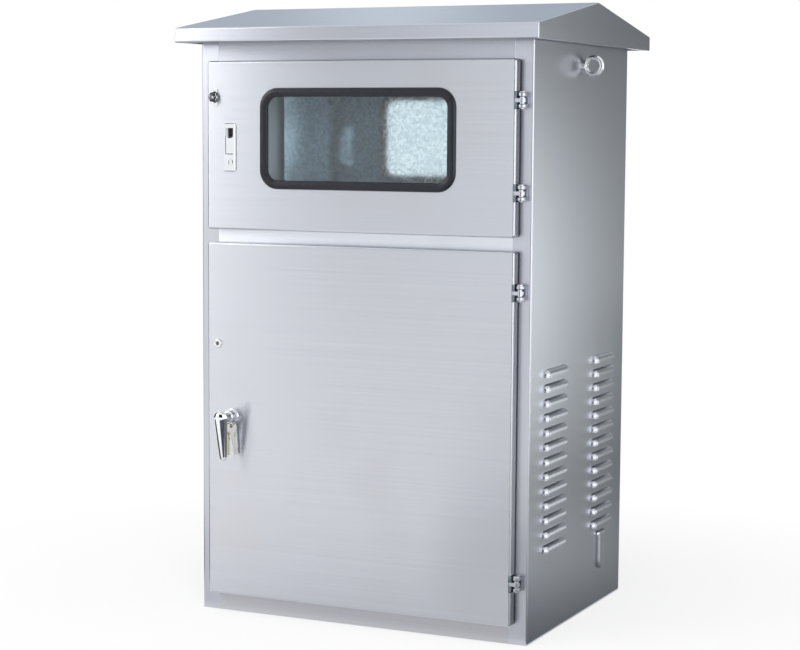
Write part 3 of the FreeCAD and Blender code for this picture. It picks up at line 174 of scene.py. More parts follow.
def distance(tree, vector):
    """Length of a vector."""
    return add_node(tree, "ShaderNodeVectorMath", {"operation": "LENGTH"}, i0=vector).outputs["Value"]


def floor_finish():
    """Matt white floor. What looks at it sees plain white far off, some of its soft shadow nearer the box,
    and under the box only that shadow."""
    material, tree, out = blank_material("studio_floor")
    far = distance(tree, object_place(tree))
    plainness = add_node(tree, "ShaderNodeMapRange", None, Value=far, From_Min=SHADOW_NEAR,
                         From_Max=SHADOW_FAR, To_Min=PLAIN_NEAR, To_Max=1.0).outputs[0]
    open_floor = maths(tree, "GREATER_THAN", far, UNDER_BOX)
    share = maths(tree, "MULTIPLY", maths(tree, "MULTIPLY", looked_at(tree), plainness), open_floor)
    matt = add_node(tree, "ShaderNodeBsdfDiffuse", None, Color=FLOOR_WHITE)
    plain = add_node(tree, "ShaderNodeEmission", None, Color=WHITE, Strength=1.0)
    end_with(tree, out, "ShaderNodeMixShader", i0=share, i1=matt.outputs[0], i2=plain.outputs[0])
    return material


def stage_sheet(name, corners, material):
    """Flat four-cornered sheet of the studio, not part of the box."""
    mesh = bpy.data.meshes.new(name)
    mesh.from_pydata(corners, [], [(0, 1, 2, 3)])
    mesh.materials.append(material)
    sheet = bpy.data.objects.new(name, mesh)
    scene.collection.objects.link(sheet)
    return sheet


floor_corners = [(x * FLOOR_REACH, y * FLOOR_REACH, -FLOOR_DROP) for x, y in SQUARE]
stage_sheet("floor", floor_corners, floor_finish())
print("floor reaches", FLOOR_REACH, "m")


# %% Card tones
def colour_mix(tree, share, first, second):
    """Mix of two colours by a share from 0 to 1."""
    node = add_node(tree, "ShaderNodeMix", {"data_type": "RGBA"}, i0=share, i6=first, i7=second)
    return node.outputs[2]


def card_finish(name, rim, core, middle, radii):
    """Glow that falls smoothly from a core tone at the middle to a rim tone at the radii in X, Y and Z."""
    material, tree, out = blank_material(name)
    place = object_place(tree)
    offset = add_node(tree, "ShaderNodeVectorMath", {"operation": "SUBTRACT"}, i0=place, i1=middle)
    shares = add_node(tree, "ShaderNodeVectorMath", {"operation": "DIVIDE"}, i0=offset.outputs[0], i1=radii)
    fall = add_node(tree, "ShaderNodeMapRange", {"interpolation_type": "SMOOTHSTEP"},
                    Value=distance(tree, shares.outputs[0]))
    tone = colour_mix(tree, fall.outputs[0], (*core, 1), (*rim, 1))
    end_with(tree, out, "ShaderNodeEmission", Color=tone, Strength=1.0)
    return material


FAR_AWAY = 100.0


def even(tone):
    """Rim, core, middle and radii of a card that has the same tone all over."""
    return tone, tone, (0, 0, 0), (FAR_AWAY, FAR_AWAY, FAR_AWAY)


SIDE_GREY = (0.075, 0.085, 0.082)
SIDE_LIGHT = (3.45, 3.54, 3.50)
HIGH_GREY = (0.80, 0.83, 0.83)
STRIP_GREY = (0.50, 0.53, 0.53)
FLAG_GREY = (0.06, 0.066, 0.066)
LOW_GREY = (0.14, 0.15, 0.15)
ROOF_BLUE = (0.38, 0.45, 0.54)
ROOF_LIGHT = (0.84, 0.96, 1.06)
FRONT_WHITE = (0.98, 1.01, 1.04)
FRONT_GREY = (0.26, 0.27, 0.28)
FRONT_LOW_WHITE = (1.17, 1.17, 1.17)
FRONT_LOW_GREY = (0.70, 0.70, 0.72)
LENS_BLACK = (0.02, 0.02, 0.025)
LENS_BLUE = (0.06, 0.065, 0.10)
LEFT_BLACK = (0.045, 0.045, 0.055)
EDGE_WHITE = (2.0, 2.0, 2.0)

# %% Cards
STRIP_Y = 1.29
BEHIND_Y = 1.3
SIDE_TOP = 1.32
LOW_Z = 0.002
OVER_LOW_Z = 0.003


def studio_card(name, low, high, *tones):
    """Flat card between two opposite corners, level or upright, that only reflections see."""
    upright = low[2] != high[2]
    if upright:
        corners = [low, (high[0], high[1], low[2]), high, (low[0], low[1], high[2])]
    else:
        corners = [low, (high[0], low[1], low[2]), high, (low[0], high[1], low[2])]
    card = stage_sheet(name, corners, card_finish(name + "_tone", *tones))
    card.visible_camera = False
    card.visible_diffuse = False
    card.visible_shadow = False
    card.visible_transmission = False


studio_card("side_strip_card", (0.0, STRIP_Y, 0.42), (0.56, STRIP_Y, SIDE_TOP), *even(STRIP_GREY))
studio_card("rear_flag_card", (0.0, BEHIND_Y, -0.5), (0.58, BEHIND_Y, SIDE_TOP), *even(FLAG_GREY))
studio_card("side_card", (0.58, BEHIND_Y, -0.5), (3.4, BEHIND_Y, SIDE_TOP),
            SIDE_GREY, SIDE_LIGHT, (1.42, BEHIND_Y, 0.44), (0.67, 1.0, 0.96))
studio_card("side_high_card", (0.34, BEHIND_Y, SIDE_TOP), (3.4, BEHIND_Y, 3.4), *even(HIGH_GREY))
studio_card("low_card", (0.3005, -0.8, LOW_Z), (3.4, BEHIND_Y, LOW_Z),
            LOW_GREY, HIGH_GREY, (0.95, 0.25, 0), (0.75, 1.1, 1.0))
studio_card("roof_card", (-3.2, 3.0, 1.1), (1.2, 3.0, 4.2),
            ROOF_BLUE, ROOF_LIGHT, (-1.62, 3.0, 2.4), (0.56, 1.0, 1.5))
studio_card("front_card", (-2.0, -3.3, 0.55), (0.1, -3.3, 3.2),
            FRONT_WHITE, FRONT_GREY, (-1.62, -3.3, 1.66), (0.84, 1.0, 1.02))
studio_card("front_low_card", (-2.2, -1.7, LOW_Z), (0.3, -0.2475, LOW_Z),
            FRONT_LOW_WHITE, FRONT_LOW_GREY, (0.1, -0.2, 0), (1.7, 1.1, 1.0))
studio_card("lens_card", (0.1, -3.5, 0.0), (1.9, -3.5, 2.6), *even(LENS_BLACK))
studio_card("lens_low_card", (-0.08, -0.97, OVER_LOW_Z), (0.5, -0.68, OVER_LOW_Z), *even(LENS_BLUE))
studio_card("left_low_card", (-1.3, -0.62, OVER_LOW_Z), (-0.50, 0.6, OVER_LOW_Z), *even(LEFT_BLACK))
studio_card("left_card", (-2.7, -1.2, 0.0), (-2.7, 2.6, 2.4), *even(LEFT_BLACK))
studio_card("edge_card", (1.75, -2.6, 0.02), (3.1, 1.0, 1.9), *even(EDGE_WHITE))

# %% Lamps
BOX_MIDDLE = (0, 0, 0.55)
WINDOW_AIM = (-0.25, -0.1, 0.8)


def softbox(name, at, aim, size, power):
    """Square area lamp that faces a point, with its size in metres and its power in watts."""
    lamp = bpy.data.lights.new(name, "AREA")
    lamp.shape = "SQUARE"
    lamp.size = size
    lamp.energy = power
    holder = bpy.data.objects.new(name, lamp)
    way = Vector(aim) - Vector(at)
    holder.matrix_world = Matrix.Translation(at) @ way.to_track_quat("-Z", "Y").to_matrix().to_4x4()
    scene.collection.objects.link(holder)
    return holder


softbox("key_softbox", (-2.62, -2.48, 1.9), BOX_MIDDLE, 1.8, 36)
softbox("top_softbox", (-0.4, -1.6, 3.6), BOX_MIDDLE, 2.2, 40).visible_glossy = False
softbox("window_softbox", (2.1, -3.2, 1.0), WINDOW_AIM, 0.8, 75).visible_glossy = False

# %% [markdown]
# ## Brushed stainless
# The sheet is belt-ground: fine scratches in one direction, some longer streaks, and faint tan smudges
# where hands and protective film have been. A painted image could carry them, but it would blur close up.
# Stretching a noise pattern along the grain gives scratches that stay true in any view, and the same
# pattern drives the colour, the roughness and a very small bump. Inside the box the sheet keeps its dull
# mill finish. A ground finish keeps its roughness wholly below or wholly above about 0.27: the render's
# denoiser changes its way of working there, and a finish that crosses it shows flecks.

# %% Grain
GRAIN_LONG = 1.5
GRAIN_FINE = 500.0
STREAK_LONG = 1.6
STREAK_WIDE = 260.0
GRAIN_ROUGH = 0.6


def stretched(tree, place, axis, along, across, detail):
    """Noise drawn out along one axis: along and across are its repeats in a metre."""
    scale = [across] * 3
    scale[axis] = along
    moved = add_node(tree, "ShaderNodeMapping", None, Vector=place, Scale=scale)
    return add_node(tree, "ShaderNodeTexNoise", None, Vector=moved.outputs[0], Scale=1.0, Detail=detail,
                    Roughness=GRAIN_ROUGH).outputs["Fac"]


def noise(tree, place, repeats, detail, output="Fac"):
    """Even noise with that many repeats in a metre."""
    node = add_node(tree, "ShaderNodeTexNoise", None, Vector=place, Scale=repeats, Detail=detail)
    return node.outputs[output]


def blended(tree, first, second, share):
    """That share of the first value plus the rest of the second."""
    most = maths(tree, "MULTIPLY", first, share)
    return maths(tree, "ADD", most, maths(tree, "MULTIPLY", second, 1 - share))


print("grain", GRAIN_FINE, "and", STREAK_WIDE, "repeats in a metre")

# %% Mill finish inside
MILL_GREY = (0.53, 0.63, 0.69)
MILL_ROUGH = 0.5
MILL_METAL = 0.4
INSIDE_BODY = (0.2988, 0.2232, 0.0, 0.9785)
INSIDE_UPPER_DOOR = (0.2735, 0.2443, 0.656, 0.934)
INSIDE_LOWER_DOOR = (0.2735, 0.2443, 0.033, 0.632)


def unground(tree, place, within):
    """1 within limits in X, Y and Z, where the sheet keeps its mill finish, and 0 where it is ground."""
    reach_x, reach_y, bottom, top = within
    parts = add_node(tree, "ShaderNodeSeparateXYZ", None, Vector=place).outputs
    sides = maths(tree, "LESS_THAN", maths(tree, "ABSOLUTE", parts[0], 0.0), reach_x)
    ends = maths(tree, "LESS_THAN", maths(tree, "ABSOLUTE", parts[1], 0.0), reach_y)
    above = maths(tree, "GREATER_THAN", parts[2], bottom)
    below = maths(tree, "LESS_THAN", parts[2], top)
    level = maths(tree, "MULTIPLY", sides, ends)
    return maths(tree, "MULTIPLY", level, maths(tree, "MULTIPLY", above, below))


print("mill finish within", INSIDE_BODY)

# %% Brushed stainless
SCRATCH_SHARE = 0.35
SCRATCH_BUMP = 0.01
SCRATCH_DEEP = 0.00004
GLOSS_SPAN = 0.01
SMUDGES = 6.0
SMUDGE_FROM = 0.52
SMUDGE_FULL = 0.72
SMUDGE_TAN = (0.52, 0.49, 0.46)
SMUDGE_SHARE = 0.16
SMUDGE_DULL = 0.006


def brushed_steel(name, axis, across, dark, light, rough, stretch, within=INSIDE_BODY):
    """Ground steel sheet with its grain along an axis, in two tones; stretch widens its gloss across it."""
    material, tree, out = blank_material(name)
    place = object_place(tree)
    scratch = stretched(tree, place, axis, GRAIN_LONG, GRAIN_FINE, 1.0)
    streak = stretched(tree, place, axis, STREAK_LONG, STREAK_WIDE, 2.0)
    lines = blended(tree, scratch, streak, SCRATCH_SHARE)
    marks = add_node(tree, "ShaderNodeMapRange", None, Value=noise(tree, place, SMUDGES, 1.5),
                     From_Min=SMUDGE_FROM, From_Max=SMUDGE_FULL).outputs[0]
    tone = colour_mix(tree, lines, (*dark, 1), (*light, 1))
    tone = colour_mix(tree, maths(tree, "MULTIPLY", marks, SMUDGE_SHARE), tone, (*SMUDGE_TAN, 1))
    gloss = spread(tree, lines, rough - GLOSS_SPAN, rough + GLOSS_SPAN)
    gloss = maths(tree, "ADD", gloss, maths(tree, "MULTIPLY", marks, SMUDGE_DULL))
    inside = unground(tree, place, within)
    tone = colour_mix(tree, inside, tone, (*MILL_GREY, 1))
    gloss = add_node(tree, "ShaderNodeMix", None, i0=inside, i2=gloss, i3=MILL_ROUGH).outputs[0]
    metal = spread(tree, inside, 1.0, MILL_METAL)
    bump = add_node(tree, "ShaderNodeBump", None, Strength=SCRATCH_BUMP, Distance=SCRATCH_DEEP,
                    Height=scratch)
    wide = add_node(tree, "ShaderNodeCombineXYZ", None, X=across[0], Y=across[1], Z=across[2])
    end_with(tree, out, "ShaderNodeBsdfPrincipled", Base_Color=tone, Roughness=gloss, Metallic=metal,
             Anisotropic=stretch, Tangent=wide.outputs[0], Normal=bump.outputs[0])
    return material


# %% Steel of each sheet
SHEET_TONES = ((0.53, 0.55, 0.605), (0.59, 0.61, 0.67))
DOOR_TONES = ((0.558, 0.575, 0.622), (0.618, 0.635, 0.685))
# The middle rail's tones are painted light: lighter than the other sheets, standing in for the bright
# reflection it shows.
RAIL_PAINTED_REFLECTION_TONES = ((0.75, 0.775, 0.835), (0.83, 0.855, 0.92))
# The sill's tones are painted shade: darker than the other sheets, standing in for the shade and dim floor
# reflection next to the floor.
SILL_PAINTED_SHADE_TONES = ((0.48, 0.485, 0.52), (0.54, 0.545, 0.58))
ALONG_X = (0, (0.0, 0.0, 1.0))
ALONG_Y = (1, (0.0, 0.0, 1.0))
ALONG_Z = (2, (1.0, 1.0, 0.0))
FINE_GLOSS = (0.25, 0.93)
DEEP_GLOSS = (0.32, 0.4)
EVEN_GLOSS = (0.295, 0.0)
steel_upright = brushed_steel("steel_upright_grain", *ALONG_Z, *SHEET_TONES, *EVEN_GLOSS)
steel_level = brushed_steel("steel_level_grain", *ALONG_X, *SHEET_TONES, *FINE_GLOSS)
steel_deep = brushed_steel("steel_deep_grain", *ALONG_Y, *SHEET_TONES, *DEEP_GLOSS)
steel_upper_door = brushed_steel("steel_upper_door", *ALONG_X, *DOOR_TONES, *FINE_GLOSS, INSIDE_UPPER_DOOR)
steel_lower_door = brushed_steel("steel_lower_door", *ALONG_X, *DOOR_TONES, *FINE_GLOSS, INSIDE_LOWER_DOOR)
# Middle rail steel, with a painted reflection in its lighter tones.
rail_steel_painted_reflection = brushed_steel("steel_rail_grain_painted_reflection", *ALONG_X, *RAIL_PAINTED_REFLECTION_TONES, *FINE_GLOSS)
# Sill steel, with painted shade in its darker tones.
sill_steel_painted_shade = brushed_steel("steel_sill_grain_painted_shade", *ALONG_X, *SILL_PAINTED_SHADE_TONES, *FINE_GLOSS)
print("steel", [m.name for m in bpy.data.materials if m.name.startswith("steel")])

# %% [markdown]
# ## Galvanised plate
# The mounting plates behind the doors are hot-dip galvanised. Their zinc freezes in flat crystals that
# each shine in their own way. A plain noise would look like cloud, so cells round scattered points are
# used, and every cell has its own grey, gloss and height.

# %% Galvanised plate
CRYSTALS = 220.0
FERNS = 420.0
WANDER = 60.0
WANDER_SHARE = 0.012
CRYSTAL_SHARE = 0.7
ZINC_DARK = (0.54, 0.65, 0.73, 1)
ZINC_LIGHT = (0.88, 0.97, 1.0, 1)
ZINC_SMOOTH = 0.06
ZINC_ROUGH = 0.13
ZINC_METAL = 0.95
ZINC_STEP = 0.4
ZINC_BUMP = 0.06
ZINC_DEEP = 0.0002


def galvanised():
    """Zinc spangle: crystals a few millimetres across, each with its own tone, gloss and height."""
    material, tree, out = blank_material("galvanised_spangle")
    place = object_place(tree)
    wander = noise(tree, place, WANDER, 3.0, "Color")
    bent = add_node(tree, "ShaderNodeMix", {"data_type": "VECTOR"}, i0=WANDER_SHARE, i4=place, i5=wander)
    cells = add_node(tree, "ShaderNodeTexVoronoi", None, Vector=bent.outputs[1], Scale=CRYSTALS)
    crystal = add_node(tree, "ShaderNodeSeparateXYZ", None, Vector=cells.outputs["Color"]).outputs
    fern = noise(tree, place, FERNS, 4.0)
    shade = blended(tree, crystal[0], fern, CRYSTAL_SHARE)
    tone = colour_mix(tree, shade, ZINC_DARK, ZINC_LIGHT)
    gloss = spread(tree, crystal[1], ZINC_SMOOTH, ZINC_ROUGH)
    uneven = maths(tree, "ADD", maths(tree, "MULTIPLY", crystal[2], ZINC_STEP), fern)
    bump = add_node(tree, "ShaderNodeBump", None, Strength=ZINC_BUMP, Distance=ZINC_DEEP, Height=uneven)
    end_with(tree, out, "ShaderNodeBsdfPrincipled", Base_Color=tone, Roughness=gloss, Metallic=ZINC_METAL,
             Normal=bump.outputs[0])
    return material


spangle = galvanised()
print("galvanised", spangle.name)

# %% [markdown]
# ## Polished and plated metal
# Chrome, zinc and nickel plate and dull brass are all smooth metals. They differ in tone and gloss, and
# each has a fine unevenness from polishing that keeps a highlight from looking ruled. So one function
# makes them all, from two tones, two roughnesses and the fineness of that unevenness.

# %% Plated metals
POLISH_BUMP = 0.04
POLISH_DEEP = 0.0003
BROADER = 6


def plated(name, dark, light, smooth, rough, grain):
    """Plated metal: roughness follows a noise of that many repeats in a metre, and tone a broader one."""
    material, tree, out = blank_material(name)
    place = object_place(tree)
    fine = noise(tree, place, grain, 4.0)
    broad = noise(tree, place, grain / BROADER, 3.0)
    tone = colour_mix(tree, broad, (*dark, 1), (*light, 1))
    gloss = spread(tree, fine, smooth, rough)
    bump = add_node(tree, "ShaderNodeBump", None, Strength=POLISH_BUMP, Distance=POLISH_DEEP, Height=fine)
    end_with(tree, out, "ShaderNodeBsdfPrincipled", Base_Color=tone, Roughness=gloss, Metallic=1.0,
             Normal=bump.outputs[0])
    return material


chrome = plated("polished_chrome", (0.80, 0.82, 0.85), (0.90, 0.91, 0.93), 0.04, 0.12, 300.0)
zinc_plate = plated("bright_zinc", (0.68, 0.69, 0.72), (0.84, 0.85, 0.87), 0.16, 0.32, 400.0)
dark_zinc = plated("dark_zinc", (0.16, 0.16, 0.17), (0.30, 0.30, 0.31), 0.20, 0.36, 400.0)
dull_brass = plated("dull_brass", (0.46, 0.43, 0.27), (0.66, 0.62, 0.44), 0.22, 0.40, 500.0)
nickel_plate = plated("satin_nickel", (0.42, 0.42, 0.43), (0.58, 0.58, 0.58), 0.14, 0.26, 500.0)
print("plated", chrome.name, zinc_plate.name, dark_zinc.name, dull_brass.name, nickel_plate.name)

# %% [markdown]
# ## Rubber, foam and glass
# The window rubber is black extruded rubber with a faint bloom. The door foam is closed-cell, so it is
# rougher and pitted, and one function serves for both. The pane is plain float glass with a slight blue-
# green body colour. It casts no shadow, because light passes through a real pane and falls on the plate
# behind it.

# %% Rubber and foam
BLOOM = 24.0
PIT_BUMP = 0.3
SOFT_SHINE = 0.38


def soft_black(name, dark, light, smooth, rough, grain, depth):
    """Black polymer with a speckled tone, uneven gloss and pits of a given depth in metres."""
    material, tree, out = blank_material(name)
    place = object_place(tree)
    speck = noise(tree, place, grain, 5.0)
    tone = colour_mix(tree, noise(tree, place, BLOOM, 4.0), (*dark, 1), (*light, 1))
    gloss = spread(tree, speck, smooth, rough)
    bump = add_node(tree, "ShaderNodeBump", None, Strength=PIT_BUMP, Distance=depth, Height=speck)
    end_with(tree, out, "ShaderNodeBsdfPrincipled", Base_Color=tone, Roughness=gloss,
             Specular_IOR_Level=SOFT_SHINE, Normal=bump.outputs[0])
    return material


black_rubber = soft_black("black_rubber", (0.004, 0.005, 0.009), (0.010, 0.011, 0.017),
                          0.20, 0.32, 900.0, 0.0001)
black_foam = soft_black("black_foam", (0.016, 0.016, 0.017), (0.035, 0.035, 0.036),
                        0.80, 0.95, 700.0, 0.0008)
print("soft", black_rubber.name, black_foam.name)

# %% Glass
FILM = 18.0
FILM_ROUGH = 0.03
PANE_TINT = (0.93, 0.975, 0.985, 1)
PANE_IOR = 1.45


def float_glass():
    """Clear pane: its roughness has a trace of film, so that a reflection isn't perfect."""
    material, tree, out = blank_material("float_glass")
    gloss = spread(tree, noise(tree, object_place(tree), FILM, 4.0), 0.0, FILM_ROUGH)
    end_with(tree, out, "ShaderNodeBsdfPrincipled", Base_Color=PANE_TINT, Roughness=gloss, IOR=PANE_IOR,
             Transmission_Weight=1.0)
    return material


clear_pane = float_glass()
print("glass", clear_pane.name)

# %% [markdown]
# ## Finishes for the imported solids
# Each solid keeps its shape and takes the finish of its material slot. The folded sheets need one more
# choice, the direction of their grain: a side or stile was cut with the grain upright, a rail or roof
# with the grain level, and a gable with the grain from front to back. The doors have tones of their own.
# The middle rail's steel is made lighter, a painted reflection, and the sill's darker, painted shade.
# Two small pieces are dark. Tables say which, because a table is quicker to read than a test.

# %% Finishes for the imported solids
FINISHES = {
    "stainless_sheet": steel_upright,
    "galvanised_sheet": spangle,
    "zinc_fastener": zinc_plate,
    "chrome": chrome,
    "brass": dull_brass,
    "nickel": nickel_plate,
    "rubber": black_rubber,
    "foam": black_foam,
    "glass": clear_pane,
}
OWN_FINISH = {
    "upper_door_panel": steel_upper_door,
    "lower_door_panel": steel_lower_door,
    "mid_rail": rail_steel_painted_reflection,
    "bottom_rail": sill_steel_painted_shade,
    "seal_staple": dark_zinc,
    "lower_lock_plug": dark_zinc,
}
LEVEL_GRAIN = ("rain_roof", "top_rail", "shelf_partition", "floor_pan", "top_pan")
DEEP_GRAIN = ("roof_gable_left", "roof_gable_right", "roof_saddle_left", "roof_saddle_right")
OWN_FINISH.update({node: steel_level for node in LEVEL_GRAIN})
OWN_FINISH.update({node: steel_deep for node in DEEP_GRAIN})
slot_of = {part["node"]: part["material_slot"] for part in frame["record"]["subparts"]}


def set_finish(piece, material):
    """Give a piece one finish, in place of the plain colours that it came with."""
    piece.data.materials.clear()
    piece.data.materials.append(material)


for node, solid in frame["nodes"].items():
    set_finish(solid, OWN_FINISH.get(node, FINISHES[slot_of[node]]))
frame["nodes"]["window_glass"].visible_shadow = False
print("finished solids", len(frame["nodes"]))

# %% [markdown]
# ## Surfaces from formulas
# The new pieces are surfaces over two parameters. They could be modelled by hand, but a formula says what
# the shape is, and one number changes it. A patch is a grid of points worked out as one array, and its
# faces join each point to its neighbours. A grid may close on itself in either direction, as a ring does.


# %% Patches
def patch(grid, close_rows=False, close_columns=False):
    """Points and four-sided faces of a grid of shape (rows, columns, 3)."""
    rows, columns = grid.shape[:2]
    row = np.arange(rows if close_rows else rows - 1)[:, None]
    column = np.arange(columns if close_columns else columns - 1)[None, :]
    next_row = (row + 1) % rows
    next_column = (column + 1) % columns
    corners = [row * columns + column, row * columns + next_column]
    corners += [next_row * columns + next_column, next_row * columns + column]
    faces = np.stack(np.broadcast_arrays(*corners), axis=-1).reshape(-1, 4)
    return grid.reshape(-1, 3), faces


MERGE_MM = 0.002
SHARP_ANGLE = math.radians(34)


def new_piece(name, patches, material, body, stands_for):
    """One piece of the box from patches in millimetres: it rides on a body and stands for a solid."""
    offsets = np.cumsum([0] + [len(points) for points, _ in patches[:-1]])
    points = np.concatenate([points for points, _ in patches]) * MM
    faces = np.concatenate([faces + offset for (_, faces), offset in zip(patches, offsets)])
    mesh = bpy.data.meshes.new(name)
    mesh.from_pydata(points.tolist(), [], faces.tolist())
    work = bmesh.new()
    work.from_mesh(mesh)
    bmesh.ops.remove_doubles(work, verts=work.verts, dist=MERGE_MM * MM)
    bmesh.ops.recalc_face_normals(work, faces=work.faces)
    work.to_mesh(mesh)
    work.free()
    mesh.shade_smooth()
    mesh.set_sharp_from_angle(angle=SHARP_ANGLE)
    piece = bpy.data.objects.new(name, mesh)
    scene.collection.objects.link(piece)
    set_finish(piece, material)
    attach(piece, body)
    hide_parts(stands_for)
    print(name, "faces", len(mesh.polygons))


# %% Arcs and turned forms
def arc(middle, radii, start, end, steps):
    """Points of an elliptical arc: middle plus radii times cosine and sine of an angle in degrees."""
    angle = np.radians(np.linspace(start, end, steps))
    return np.stack([middle[0] + radii[0] * np.cos(angle), middle[1] + radii[1] * np.sin(angle)], axis=-1)


def full_turn(steps):
    """Angles spaced evenly round a circle."""
    return np.linspace(0, 2 * np.pi, steps, endpoint=False)


def spun(y, radius, angle, at):
    """Points round an axis along Y through (x, z): radius times cosine and sine of the angle."""
    x = at[0] + radius * np.cos(angle)
    z = at[1] + radius * np.sin(angle)
    return np.stack([x, y + 0 * angle, z], axis=-1)


def turned(profile, at, steps=64):
    """Profile of (y, radius) points spun about an axis along Y through (x, z)."""
    y, radius = np.asarray(profile, float).T[:, :, None]
    return patch(spun(y, radius, full_turn(steps)[None, :], at), close_columns=True)


def swapped(patch_made, order):
    """Patch with its axes taken in another order, to lay a Y axis along X or Z."""
    points, faces = patch_made
    return points[:, list(order)], faces


print("pieces merge points within", MERGE_MM, "mm")

# %% [markdown]
# ## Window rubber
# The pane sits in a one-piece rubber section with a lobe on each side of the sheet, and a locking strip
# pressed into a groove of its front face spreads the lobes. A bevelled curve could make both, but a
# section carried round a rounded rectangle as one array keeps every slot of the section true.

# %% Round the window
DOOR_FACE = -245.0
DOOR_INNER = -243.5
WINDOW_HALF = (171.0, 77.5)
WINDOW_MIDDLE_Z = 807.0
WINDOW_CORNER = 26.0
AROUND_WINDOW = (*WINDOW_HALF, WINDOW_CORNER, 0.0, WINDOW_MIDDLE_Z)


def frame_path(half_w, half_h, r, corner_steps=14):
    """Points and outward normals of a rounded rectangle: a quarter arc at each corner, and straight runs."""
    quarter = np.arange(4)[:, None]
    angle = (quarter * 90 + np.linspace(0, 90, corner_steps)[None, :]).ravel() * np.pi / 180
    normal = np.stack([np.cos(angle), np.sin(angle)], axis=-1)
    side_x = np.repeat([1, -1, -1, 1], corner_steps) * (half_w - r)
    side_z = np.repeat([1, 1, -1, -1], corner_steps) * (half_h - r)
    return np.stack([side_x, side_z], axis=-1) + r * normal, normal


def carried(section, half_w, half_h, r, middle_x, middle_z):
    """Closed section of (outward, y) points carried round a rounded rectangle in the door's plane."""
    line, normal = frame_path(half_w, half_h, r)
    out = section[None, :, 0]
    x = middle_x + line[:, None, 0] + normal[:, None, 0] * out
    z = middle_z + line[:, None, 1] + normal[:, None, 1] * out
    y = np.broadcast_to(section[None, :, 1], x.shape)
    return patch(np.stack([x, y, z], axis=-1), close_rows=True, close_columns=True)


print("window opening", [2 * half for half in WINDOW_HALF], "mm")

# %% Window rubber
RUBBER_CREST = DOOR_FACE - 5.0
RUBBER_REAR = DOOR_INNER + 5.0
GROOVE = (-4.0, 1.0)
GROOVE_FLOOR = RUBBER_CREST + 2.4
LOBE_W = 4.75
LOBE_STEPS = 9
GLASS_FRONT = -246.75
GLASS_BACK = -241.75
WEB = (-2.75, -0.25)
STRIP_HALF = 2.48
STRIP_DOME = 0.6


def rubber_section():
    """Rubber section: four quarter-ellipse lobes, slots for the sheet and the glass, and a front groove."""
    inner_front = arc((GROOVE[0], GLASS_FRONT), (LOBE_W, RUBBER_CREST - GLASS_FRONT), 180, 90, LOBE_STEPS)
    groove = [(GROOVE[0], GROOVE_FLOOR), (GROOVE[1], GROOVE_FLOOR)]
    outer_front = arc((GROOVE[1], DOOR_FACE), (LOBE_W, RUBBER_CREST - DOOR_FACE), 90, 0, LOBE_STEPS)
    sheet_slot = [(WEB[1], DOOR_FACE), (WEB[1], DOOR_INNER)]
    outer_rear = arc((GROOVE[1], DOOR_INNER), (LOBE_W, RUBBER_REAR - DOOR_INNER), 0, 90, LOBE_STEPS)
    inner_rear = arc((GROOVE[0], GLASS_BACK), (LOBE_W, RUBBER_REAR - GLASS_BACK), 90, 180, LOBE_STEPS)
    glass_slot = [(WEB[0], GLASS_BACK), (WEB[0], GLASS_FRONT)]
    front = [inner_front, groove, outer_front]
    return np.concatenate(front + [sheet_slot, outer_rear, inner_rear, glass_slot])


def strip_section():
    """Locking strip: a flat back in the groove and a low dome in front."""
    middle = (GROOVE[0] + GROOVE[1]) / 2
    dome = arc((middle, RUBBER_CREST), (STRIP_HALF, -STRIP_DOME), 180, 0, LOBE_STEPS)
    back = [(middle - STRIP_HALF, GROOVE_FLOOR), (middle + STRIP_HALF, GROOVE_FLOOR)]
    return np.concatenate([back[:1], dome, back[1:]])


rubber = carried(rubber_section(), *AROUND_WINDOW)
locking_strip = carried(strip_section(), *AROUND_WINDOW)
new_piece("window_rubber", [rubber], black_rubber, "upper_door", "window_seal")
new_piece("window_locking_strip", [locking_strip], black_rubber, "upper_door", "window_filler")

# %% [markdown]
# ## Door foam
# Foam strip is laid round the inside of each door, on its return lip. Its free face is rounded. The
# carried section of the window serves again, now with an arched top and with small corners where the
# strip is bent.

# %% Door foam
DOOR_HALF_W = 278.0
DOOR_SPANS = {"upper": (655.0, 935.0), "lower": (32.0, 633.0)}
DOOR_BACK = -228.0
FOAM_REAR = -225.3
FOAM_STRAIGHT = 1.0
FOAM_INSET = 1.0
FOAM_W = 10.0
FOAM_CORNER = 4.0


def foam_section():
    """Strip that starts on the door's lip: straight sides and an elliptical crown towards the frame."""
    spring = DOOR_BACK + FOAM_STRAIGHT
    crown = arc((-FOAM_W / 2, spring), (FOAM_W / 2, FOAM_REAR - spring), 0, 180, 11)
    return np.concatenate([[(0.0, DOOR_BACK)], crown, [(-FOAM_W, DOOR_BACK)]])


for door, (bottom, top) in DOOR_SPANS.items():
    edge_w = DOOR_HALF_W - FOAM_INSET
    edge_h = (top - bottom) / 2 - FOAM_INSET
    strip = carried(foam_section(), edge_w, edge_h, FOAM_CORNER, 0.0, (top + bottom) / 2)
    new_piece(f"{door}_foam_strip", [strip], black_foam, f"{door}_door", f"{door}_door_gasket")

# %% [markdown]
# ## Threads
# A thread is a helix: the radius depends only on the height minus the share of a turn, measured in
# pitches. A triangle wave of that gives the flanks, and a short taper runs the thread out at the rod's
# end. The Screw modifier could make one too, but it leaves its ends open.

# %% Threads
STUD_R = 4.0
STUD_PITCH = 1.25
THREAD_DEEP = 0.6
RUN_OUT_DEEP = 0.7
ROWS_A_PITCH = 8
EARTH_AT = (230.0, -130.0)
EARTH_SPAN = (1.5, 31.5)


